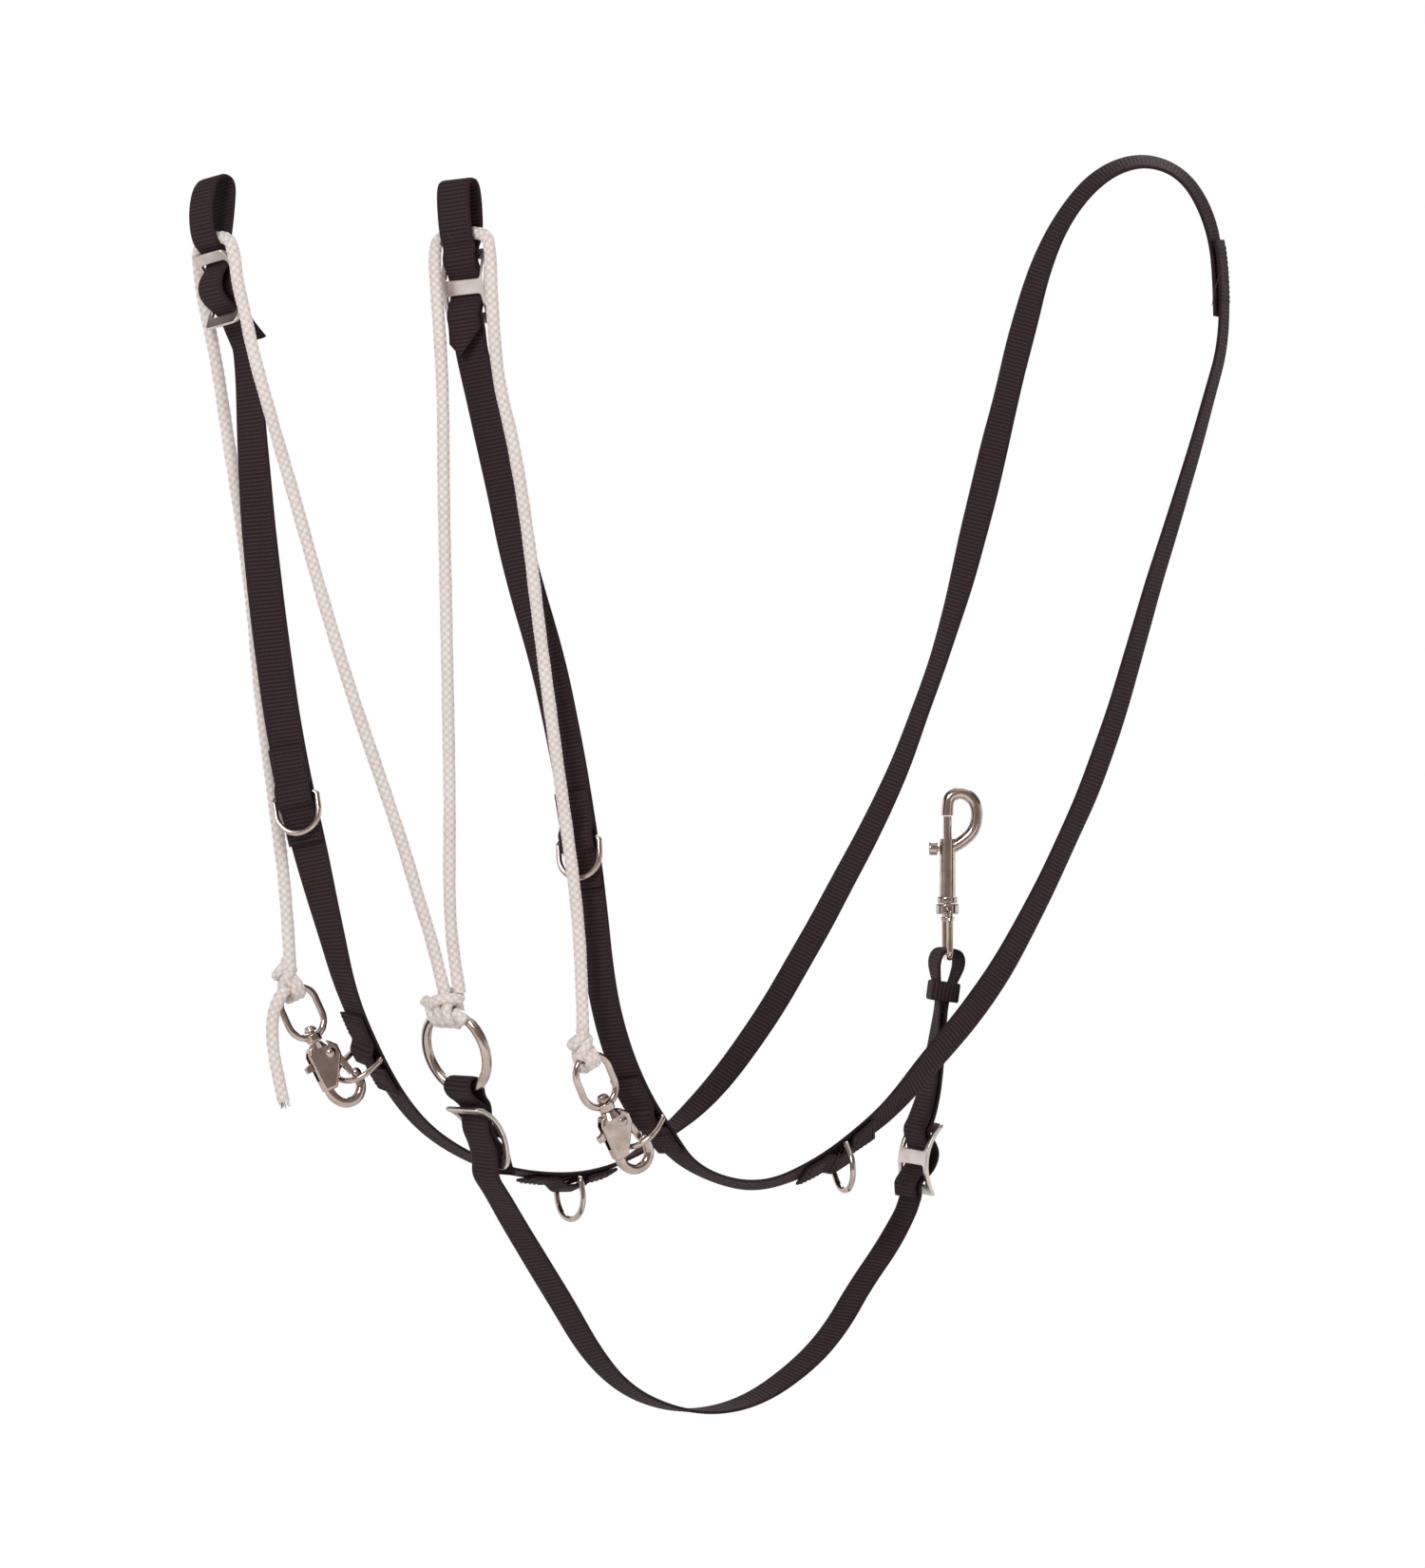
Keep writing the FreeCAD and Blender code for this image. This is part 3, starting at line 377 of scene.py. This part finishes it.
# ---- cords ------------------------------------------------------------------------------------
def cord_frames(line):
    """Two directions across the line, turned as little as possible along it."""
    tangent = unit(np.gradient(line, axis=0))
    side = np.zeros_like(line)
    side[0] = unit(np.cross(tangent[0], (0.3, 0.9, 0.2)))
    for i in range(1, len(line)):
        turned = side[i - 1] - tangent[i] * np.dot(side[i - 1], tangent[i])
        side[i] = turned / np.linalg.norm(turned)
    return side, np.cross(tangent, side)


def tube(line, radius, around):
    """Vertices of a tube round a line: radius is one number or one for each ring and angle."""
    side, up = cord_frames(line)
    angle = np.linspace(0, 2 * math.pi, around, endpoint=False)[None, :, None]
    ring = side[:, None, :] * np.cos(angle) + up[:, None, :] * np.sin(angle)
    return (line[:, None, :] + ring * radius).reshape(-1, 3)


def braid(name, points, diameter, body="harness", step=0.00042, around=48, strands=4):
    """A braided cord along the spline of these points; returns the piece, its line and length."""
    line = spline_points(points)
    far = along(line)
    s = np.linspace(0, far[-1], max(12, round(far[-1] / step)))
    line = even(line, far, s)
    angle = np.linspace(0, 2 * math.pi, around, endpoint=False)
    pitch = diameter * 0.62
    turn = angle[None, :] / (2 * math.pi) * strands
    a, b = turn + s[:, None] / pitch, -turn + s[:, None] / pitch
    over = (np.floor(a) + np.floor(b)) % 2 < 1
    fa, fb = a - np.floor(a) - 0.5, b - np.floor(b) - 0.5
    narrow, long = np.where(over, fa, fb), np.where(over, fb, fa)
    relief = np.sqrt(np.clip(1 - (1.8 * narrow) ** 2, 0, 1)) * (0.55 + 0.45 * np.cos(math.pi * long))
    wobble = 0.02 * np.sin(s * 310.0) + 0.015 * np.sin(s * 97.0 + 1.0)
    radius = diameter / 2 * (0.80 + 0.24 * relief + wobble[:, None])
    verts = tube(line, radius[:, :, None], around)
    # The strand relief also goes to the colour, where it paints shade into the crevices between
    # strands.
    piece = new_mesh(name, verts, grid_faces(len(s), around), white_cord,
                     {"relief": relief.ravel()}, body=body)
    return piece, line, far[-1]


def free_cord(name, points):
    piece, line, length = braid(name, points, CORD)
    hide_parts(name)
    return piece


free_cord("draw_cord_left", DRAW_CORD_LEFT)
free_cord("draw_cord_right", DRAW_CORD_RIGHT)
free_cord("left_cord_tail", LEFT_TAIL)

joints = {joint["name"]: joint for joint in frame["record"]["behaviour"]["joints"]}


# ---- strap ends -------------------------------------------------------------------------------
class StrapEnd:
    """The frame of a strap's end: u towards the loop, v off its face and w across it."""

    def __init__(self, centre, towards, lean, side, travel):
        self.centre = np.array(centre)
        self.u = unit(towards)
        self.side, self.travel, self.lean = side, travel, lean
        self.w, self.v = self.axes(lean)

    def axes(self, lean):
        tangent = self.u * self.travel
        wide = width_axis(tangent, lean)
        return wide, np.cross(wide, tangent)

    def at(self, u, v):
        return self.centre + self.u * u * MM + self.v * v * self.side * MM

    def twisted(self, u, v):
        share = min(max((u - 22) / 58, 0), 1)
        eye = min(max((u - 86) / 14, 0), 1)
        wide, off = self.axes(self.lean + (95 - self.lean) * share + 13 * eye)
        return self.centre + self.u * u * MM + off * v * self.side * MM, wide


left_bit = StrapEnd((-0.4685, -0.1, -0.067), (-0.2, 0, 0.98), 48, -1, -1)
right_bit = StrapEnd((-0.341, -0.1, -0.066), (-0.08, 0, 0.997), 30, 1, -1)
ring_end = StrapEnd((-0.337, -0.069, -0.496), (-0.387, -0.42, 0.82), 50, -1, -1)
snap_end = StrapEnd((-0.109, 0.037, -0.511), (0.125, 0, 0.992), 124, -1, 1)

# u and v in millimetres
LEFT_PATH = [
    (-26, 9), (-20, 7.4), (-13.3, 6), (-4.6, -4.2), (4.6, -4.2), (13.3, 6), (20, 2.8), (25, -1.6),
    (36, -1.5), (47, 2), (55, 7.5), (56.5, 14), (51.5, 18.5), (39, 14.5), (25, 8.6), (20, 5.8),
    (13.3, 9), (4.6, 2.6), (-4.6, 2.6), (-13.3, 9), (-20, 11.6), (-28, 17.5),
]
RIGHT_PATH = [
    (-26, 3), (-20, 3.4), (-13.3, 6), (-4.6, -0.2), (4.6, -0.2), (13.3, 6), (20, 2.8), (25, -1.6),
    (37, -3), (49, -3), (54, 0), (54, 5.5), (49, 8.4), (37, 9.2), (25, 8.6), (20, 5.8), (13.3, 9),
    (4.6, 2.6), (-4.6, 2.6), (-13.3, 9), (-20, 6.8), (-35, 8.5),
]
RING_PATH = [
    (-28, -6.5), (-19.5, -7.6), (-12.5, -2.6), (-4.6, -0.5), (4.6, -0.2), (13.3, 6), (20, 3.2),
    (24.5, 0.6), (30, 0.6), (32.7, 5.2), (30, 9.8), (24.5, 9.8), (20, 7.6), (13.3, 9), (4.6, 2.6),
    (-4.6, 2.6), (-13.3, 6), (-20, 3.4), (-26, 3),
]
SNAP_PATH = [
    (-24, 5), (-19, 3.9), (-13.3, 6), (-6.5, -1.5), (2, -4.2), (8.5, -1.2), (13.6, 5.2), (20, 1.8),
    (40, -1.5), (62, -1.6), (84, -1.5), (94, -5), (102, -7), (108, -5), (109, 0), (108, 5),
    (102, 7), (94, 5), (84, 1.5), (62, 1.6), (40, 1.5), (20, 4.9), (13.6, 8.2), (4.6, 2.6),
    (-4.6, 2.6), (-13.3, 9), (-17.5, 8.2), (-21, 7.2),
]


def free_run(route):
    """A route's points and the directions across the strap there."""
    points = [np.array(p[:3]) for p in route]
    wides = []
    for i, p in enumerate(route):
        tangent = unit(points[min(i + 1, len(points) - 1)] - points[max(i - 1, 0)])
        wides.append(width_axis(tangent, p[3]))
    return points, wides


def strap_from(end, path, route, far_end=None, far_path=None):
    """One strap: tail, slide, loop, slide again, then its run, to a far end if it has one."""
    spots = [end.at(u, v) for u, v in reversed(path)]
    wides = [end.w] * len(spots)
    away = unit(spots[-1] - spots[-2])
    spots.append(spots[-1] + away * 0.008)
    wides.append(end.w)
    points, across = free_run(route)
    spots += points
    wides += across
    if far_end:
        last, inner = far_end.at(*far_path[0]), far_end.at(*far_path[1])
        spots.append(last + unit(last - inner) * 0.006)
        wides.append(far_end.w)
        for u, v in far_path:
            spot, wide = far_end.twisted(u, v)
            spots.append(spot)
            wides.append(wide)
    return Web(spots, wides)


def ribbon(name, web, nodes, width=WEB_WIDTH, thick=WEB_THICK, off=None, start=0.0, end=None,
           rib=0.20 * MM, body="harness", cut=None):
    """Ribbed webbing along a stretch of a strap; off lifts it from there, cut trims its start."""
    end = web.length if end is None else end
    chosen = (web.s >= start) & (web.s <= end)
    s, line, wide, normal = web.s[chosen], web.line[chosen], web.wide[chosen], web.normal[chosen]
    lift = np.zeros(len(s)) if off is None else off(s)
    columns = 17
    w = np.linspace(-1, 1, columns)
    rows = np.repeat(np.arange(len(s))[:, None], columns, axis=1)
    if cut is not None:
        rows = np.maximum(rows, np.searchsorted(s, start + cut(w))[None, :])
    body_mask = np.clip((0.82 - np.abs(w)) / 0.06, 0, 1)
    slant = 0.08 * RIB_PITCH * np.sin(3 * w)
    wave = 0.5 + 0.5 * np.cos(2 * math.pi * (s[rows] + slant[None, :]) / RIB_PITCH)
    relief = wave ** 0.7 * body_mask[None, :] + 0.55 * (1 - body_mask)[None, :]
    edge = (1 - np.clip(np.abs(w), 0, 1) ** 14) ** 0.5
    half = (thick / 2 - rib) * np.clip(edge, 0.32, 1)
    height = half[None, :] + rib * relief * np.clip(edge, 0.2, 1)[None, :]
    flutter = 0.00012 * np.sin(s * 53.0) + 0.00008 * np.sin(s * 131.0 + 2.0)
    ripple = flutter[rows] * (np.abs(w) ** 2)[None, :]
    across = w * width / 2
    base = line[rows] + wide[rows] * across[None, :, None]
    top = base + normal[rows] * (lift[rows] + height + ripple)[:, :, None]
    bottom = base + normal[rows] * (lift[rows] - height + ripple)[:, :, None]
    verts = np.concatenate([top, bottom[:, ::-1]], axis=1).reshape(-1, 3)
    # The relief also goes to the colour, as painted shade in the gaps between ribs and lighter crests.
    values = np.concatenate([relief, relief[:, ::-1]], axis=1).ravel()
    u = np.concatenate([across, across[::-1] + 0.03])
    uv = np.stack(np.broadcast_arrays(u[None, :], s[:, None]), axis=2).reshape(-1, 2)
    piece = new_mesh(name, verts, grid_faces(len(s), 2 * columns), webbing, {"relief": values}, uv,
                     body)
    if nodes:
        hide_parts(*nodes)
    return piece


left_web = strap_from(left_bit, LEFT_PATH, REIN_LEFT)
right_web = strap_from(right_bit, RIGHT_PATH, REIN_RIGHT)
chest_web = strap_from(ring_end, RING_PATH, CHEST_STRAP, snap_end, SNAP_PATH)
ribbon("left_rein_webbing", left_web, ["rein_left", "rein_left_bit_loop"])
ribbon("right_rein_webbing", right_web, ["rein_right", "rein_right_bit_loop"],
       cut=lambda w: np.interp(w, (-1, 0.3, 1), (14 * MM, 0, 7 * MM)))
ribbon("chest_webbing", chest_web, ["chest_strap", "chest_strap_ring_loop", "chest_strap_snap_loop"])


# ---- thread -----------------------------------------------------------------------------------
def thread_rows(name, stitches, thick, tone, body="harness"):
    """Short raised stitches: each has a middle, a direction along it and a direction up."""
    rings, around = 5, 6
    share = np.linspace(-1, 1, rings)
    swell = np.sqrt(np.clip(1 - share ** 2, 0.04, 1))
    angle = np.linspace(0, 2 * math.pi, around, endpoint=False)
    verts, faces = [], []
    for middle, run, up, length in stitches:
        side = np.cross(run, up)
        first = len(verts)
        for t, size in zip(share, swell):
            for a in angle:
                verts.append(middle + run * (t * length / 2) + side * (math.cos(a) * thick * 0.5 * size)
                             + up * (math.sin(a) * thick * 0.45 * size + 0.12 * MM * (1 - t * t)))
        faces += [[first + k for k in face] for face in grid_faces(rings, around)]
    return new_mesh(name, verts, faces, tone, body=body)


def thread_material(name, dark, bright):
    made, nodes, links, shader = material(name)
    place = nodes.new("ShaderNodeTexCoord")
    twist = noise(nodes, links, place.outputs["Object"], 2600.0, 3.0)
    color = ramp(nodes, [(0.3, dark), (0.7, bright)])
    links.new(twist.outputs["Fac"], color.inputs["Fac"])
    links.new(color.outputs["Color"], shader.inputs["Base Color"])
    shader.inputs["Roughness"].default_value = 0.55
    ply = bump(nodes, links, twist.outputs["Fac"], 0.5, 0.0002)
    links.new(ply.outputs["Normal"], shader.inputs["Normal"])
    return made


black_thread = thread_material("black_thread", (0.006, 0.004, 0.005), (0.035, 0.026, 0.028))


def row_across(web, s, off, half=7.4 * MM, gap=2.3 * MM, length=1.9 * MM):
    spot, _, wide, normal = web.frame(s)
    count = int(2 * half / gap)
    places = [(k - count / 2) * gap for k in range(count + 1)]
    return [(spot + wide * w + normal * off, wide, normal, length) for w in places]


def row_along(web, start, end, w, off_at, gap=2.5 * MM, length=2.0 * MM):
    rows = []
    s = start
    while s < end:
        spot, tangent, wide, normal = web.frame(s)
        rows.append((spot + wide * w + normal * off_at(s), tangent, normal, length))
        s += gap
    return rows


# ---- chapes: patches sewn over the D-rings' bars ------------------------------------------------
def chape(name, web, ring, top):
    middle = web.nearest(joints[ring + "_swing"]["pos_m"])
    flat, proud = 2.7 * MM, 6.25 * MM

    def off(s):
        gap = np.abs(s - middle)
        share = np.clip((gap - top) / (5.2 * MM), 0, 1)
        return flat + (proud - flat) * (0.5 + 0.5 * np.cos(math.pi * share))

    half = 25 * MM
    ribbon(name + "_patch", web, [name], off=off, start=middle - half, end=middle + half)

    def face(s):
        return float(off(np.array([s]))[0]) + WEB_THICK / 2

    stitches = []
    for place in (-23.0, -20.6, -11.5, 11.5, 20.6, 23.0):
        stitches += row_across(web, middle + place * MM, face(middle + place * MM))
    for w in (-7.6 * MM, 7.6 * MM):
        stitches += row_along(web, middle - 23 * MM, middle - 11 * MM, w, face)
        stitches += row_along(web, middle + 11 * MM, middle + 23 * MM, w, face)
    thread_rows(name + "_stitches", stitches, 0.55 * MM, black_thread)


for side, web in (("left", left_web), ("right", right_web)):
    for level in ("upper", "middle", "lower"):
        chape(level + "_" + side + "_chape", web, level + "_" + side + "_d_ring",
              4.6 * MM if level == "lower" else 3.0 * MM)

# ---- the seam where the right rein is sewn over the end of the left rein -------------------------
seam_end = right_web.length
seam = []
for place in (4, 6.5, 30, 32.5):
    for face in (-1, 1):
        spot, _, wide, normal = right_web.frame(seam_end - place * MM)
        seam += [(spot + wide * w * MM + normal * face * WEB_THICK / 2, wide, normal * face, 1.9 * MM)
                 for w in np.arange(-7.2, 7.5, 2.4)]
for w in (-7.4, 7.4):
    seam += row_along(right_web, seam_end - 32 * MM, seam_end - 4 * MM, w * MM, lambda s: WEB_THICK / 2)
thread_rows("crown_stitches", seam, 0.55 * MM, black_thread)


def thread(name, points, thick, tone, body="harness"):
    line = spline_points(points, 16)
    around = 6
    verts = tube(line, thick / 2, around)
    return new_mesh(name, verts, grid_faces(len(line), around), tone, body=body)


thread("crown_loose_thread", [(0.0445, -0.010, -0.050), (0.043, -0.0125, -0.055),
                              (0.0405, -0.013, -0.062), (0.039, -0.0125, -0.071)],
       0.35 * MM, black_thread)
thread("bit_loose_thread", [(-0.352, -0.110, -0.040), (-0.350, -0.1135, -0.0405),
                            (-0.3485, -0.114, -0.043)], 0.3 * MM, black_thread)

# ---- keeper -----------------------------------------------------------------------------------
spot, wide = snap_end.twisted(87, 0)
wide = unit(wide - snap_end.u * np.dot(wide, snap_end.u))
deep = np.cross(wide, snap_end.u)
outline = []
for x, y in ((10.5, 0), (10.5, 6.4), (8.6, 6.9), (0, 6.9), (-8.6, 6.9), (-10.5, 6.4), (-10.5, 0),
             (-10.5, -6.4), (-8.6, -6.9), (0, -6.9), (8.6, -6.9), (10.5, -6.4), (10.5, -0.2)):
    outline.append(spot + wide * x * MM + deep * y * MM)
keeper_web = Web(outline, [snap_end.u] * len(outline))
ribbon("keeper_band", keeper_web, ["keeper_loop"], width=10 * MM, thick=1.4 * MM, rib=0.12 * MM,
       body="keeper")


# ---- knots ------------------------------------------------------------------------------------
def knot(name, nodes, centre, along_bar, up, out, turns):
    """Cord wound and crossed round a bar; each turn is a list of (bar, up, out) in millimetres."""
    first = None
    for i, turn in enumerate(turns):
        points = [centre + along_bar * x * MM + up * y * MM + out * z * MM for x, y, z in turn]
        piece, _, _ = braid(name + "_turn_" + str(i + 1), points, KNOT_CORD, step=0.0005, around=32)
        if first is None:
            first = piece
            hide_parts(*nodes)


def wraps(radius, start, end, count, phase=0.0, flatten=1.0):
    """Control points of a coil round the bar."""
    steps = int(count * 8) + 1
    points = []
    for k in range(steps):
        share = k / (steps - 1)
        angle = phase + share * count * 2 * math.pi
        points.append((start + (end - start) * share, radius * math.cos(angle) * flatten,
                       radius * math.sin(angle)))
    return points


turn_joint = joints["center_ring_turn"]
axis = unit(turn_joint["axis"])
ring_up = unit(np.array((-0.151, -0.273, 0.950)) - ring_end.w * np.dot((-0.151, -0.273, 0.950),
                                                                      ring_end.w))
ring_top = np.array(turn_joint["pos_m"]) + ring_up * 0.021
out = axis if axis[1] < 0 else -axis
bar_way = unit(np.cross(out, ring_up))
bar_way = bar_way if bar_way[0] > 0 else -bar_way
knot("ring_knot", ["ring_knot"], ring_top, bar_way, ring_up, out, [
    wraps(6.0, -7.0, 6.6, 2.4, 0.6, 1.05),
    [(-8.5, 2.5, 3.5), (-4, 6.5, 6.5), (1.5, 8.8, 6.8), (6.5, 8.5, 3.0), (8.5, 6.0, -1.5),
     (4.5, 7.0, -6.0), (-2, 8.5, -5.5)],
    [(8.8, 1.0, 3.0), (11.5, -1.0, 4.0), (14.5, -4.0, 3.5)],
    [(-9.0, 3.0, 1.0), (-11.5, 4.6, 1.6), (-14.0, 6.5, 1.5)],
])
for side in ("left", "right"):
    swivel, pivot = joints[side + "_snap_swivel"], joints[side + "_trigger_pivot"]
    up, out = unit(swivel["axis"]), unit(pivot["axis"])
    bar_way = unit(np.cross(up, out))
    top = np.array(swivel["pos_m"]) + up * 0.0138
    knot(side + "_knot", [side + "_snap_knot"], top, bar_way, up, out, [
        wraps(4.9, -3.6, 3.4, 2.2, 2.6, 1.05),
        [(-4.6, 2.0, 2.6), (-2.5, 5.2, 5.0), (2.0, 7.6, 4.4), (4.8, 8.6, 0.0), (2.0, 9.0, -4.2),
         (-3.0, 8.4, -3.6), (-4.6, 8.6, 0.6), (-2.0, 10.4, 4.0), (2.6, 12.2, 3.0),
         (3.6, 13.4, -1.5)],
    ])

# ---- the end of the free tail is cut and a little frayed ------------------------------------------
random.seed(7)
tail_end, tail_run = np.array(LEFT_TAIL[-1]), unit(np.array(LEFT_TAIL[-1]) - np.array(LEFT_TAIL[-2]))
for k in range(16):
    angle = random.uniform(0, 2 * math.pi)
    reach = random.uniform(0.4, 2.6) * MM
    out = np.array((math.cos(angle), math.sin(angle), 0.0)) * reach
    length = random.uniform(1.5, 3.6) * MM
    points = [tail_end + out - tail_run * MM, tail_end + out * 1.1 + tail_run * length * 0.5,
              tail_end + out * 1.35 + tail_run * length]
    hair = thread("tail_fibre_" + str(k + 1), points, 0.4 * MM, white_cord)

# ---- stage and light --------------------------------------------------------------------------
floor_mesh = bpy.data.meshes.new("floor")
rim = [(3.2 * math.cos(a) - 0.218, 3.2 * math.sin(a), -1.0)
       for a in np.linspace(0, 2 * math.pi, 96, endpoint=False)]
floor_mesh.from_pydata(rim, [], [list(range(len(rim)))])
floor = bpy.data.objects.new("floor", floor_mesh)
scene.collection.objects.link(floor)
floor_made, nodes, links, shader = material("floor")
place = nodes.new("ShaderNodeTexCoord")
speckle = noise(nodes, links, place.outputs["Object"], 30.0, 4.0)
tone = ramp(nodes, [(0.3, (0.86, 0.855, 0.85)), (0.7, (0.90, 0.895, 0.89))])
links.new(speckle.outputs["Fac"], tone.inputs["Fac"])
links.new(tone.outputs["Color"], shader.inputs["Base Color"])
shader.inputs["Roughness"].default_value = 0.8
floor_mesh.materials.append(floor_made)

world = bpy.data.worlds.new("world")
scene.world = world
world.use_nodes = True
nodes, links = world.node_tree.nodes, world.node_tree.links
back = nodes["Background"]
place = nodes.new("ShaderNodeTexCoord")
split = nodes.new("ShaderNodeSeparateXYZ")
links.new(place.outputs["Generated"], split.inputs["Vector"])
sky = ramp(nodes, [(0.0, (0.5, 0.47, 0.45)), (0.36, (0.8, 0.78, 0.77)), (0.42, (1, 1, 1)),
                   (0.60, (1, 1, 1)), (0.67, (0.13, 0.105, 0.095)), (0.88, (0.16, 0.13, 0.12)),
                   (0.94, (0.9, 0.9, 0.9)), (1.0, (0.9, 0.9, 0.9))])
height = math_node(nodes, links, "MULTIPLY", split.outputs["Z"], 0.5)
height = math_node(nodes, links, "ADD", height, 0.5)
links.new(height, sky.inputs["Fac"])
front = nodes.new("ShaderNodeMapRange")
front.interpolation_type = "SMOOTHSTEP"
front.inputs["From Min"].default_value = 0.35
front.inputs["From Max"].default_value = 0.85
towards = math_node(nodes, links, "MULTIPLY", split.outputs["Y"], -1.0)
links.new(towards, front.inputs["Value"])
card = nodes.new("ShaderNodeMix")
card.data_type = "RGBA"
links.new(front.outputs["Result"], card.inputs["Factor"])
links.new(sky.outputs["Color"], card.inputs[6])
card.inputs[7].default_value = (0.27, 0.225, 0.20, 1.0)
links.new(card.outputs[2], back.inputs["Color"])
back.inputs["Strength"].default_value = 1.0


def lamp(name, place, size, power, glossy=True, target=(-0.218, 0, -0.3)):
    data = bpy.data.lights.new(name, "AREA")
    data.shape = "RECTANGLE"
    data.size, data.size_y = size
    data.energy = power
    light = bpy.data.objects.new(name, data)
    light.location = place
    light.rotation_euler = (Vector(target) - Vector(place)).to_track_quat("-Z", "Y").to_euler()
    light.visible_glossy = glossy
    scene.collection.objects.link(light)


lamp("key", (-1.7, -2.6, 1.3), (1.2, 1.2), 55)
lamp("fill", (1.9, -2.2, 0.2), (1.4, 1.4), 26, glossy=False)
lamp("rim", (0.3, 2.2, 1.5), (1.4, 0.8), 24)
scene.view_settings.view_transform = "Standard"
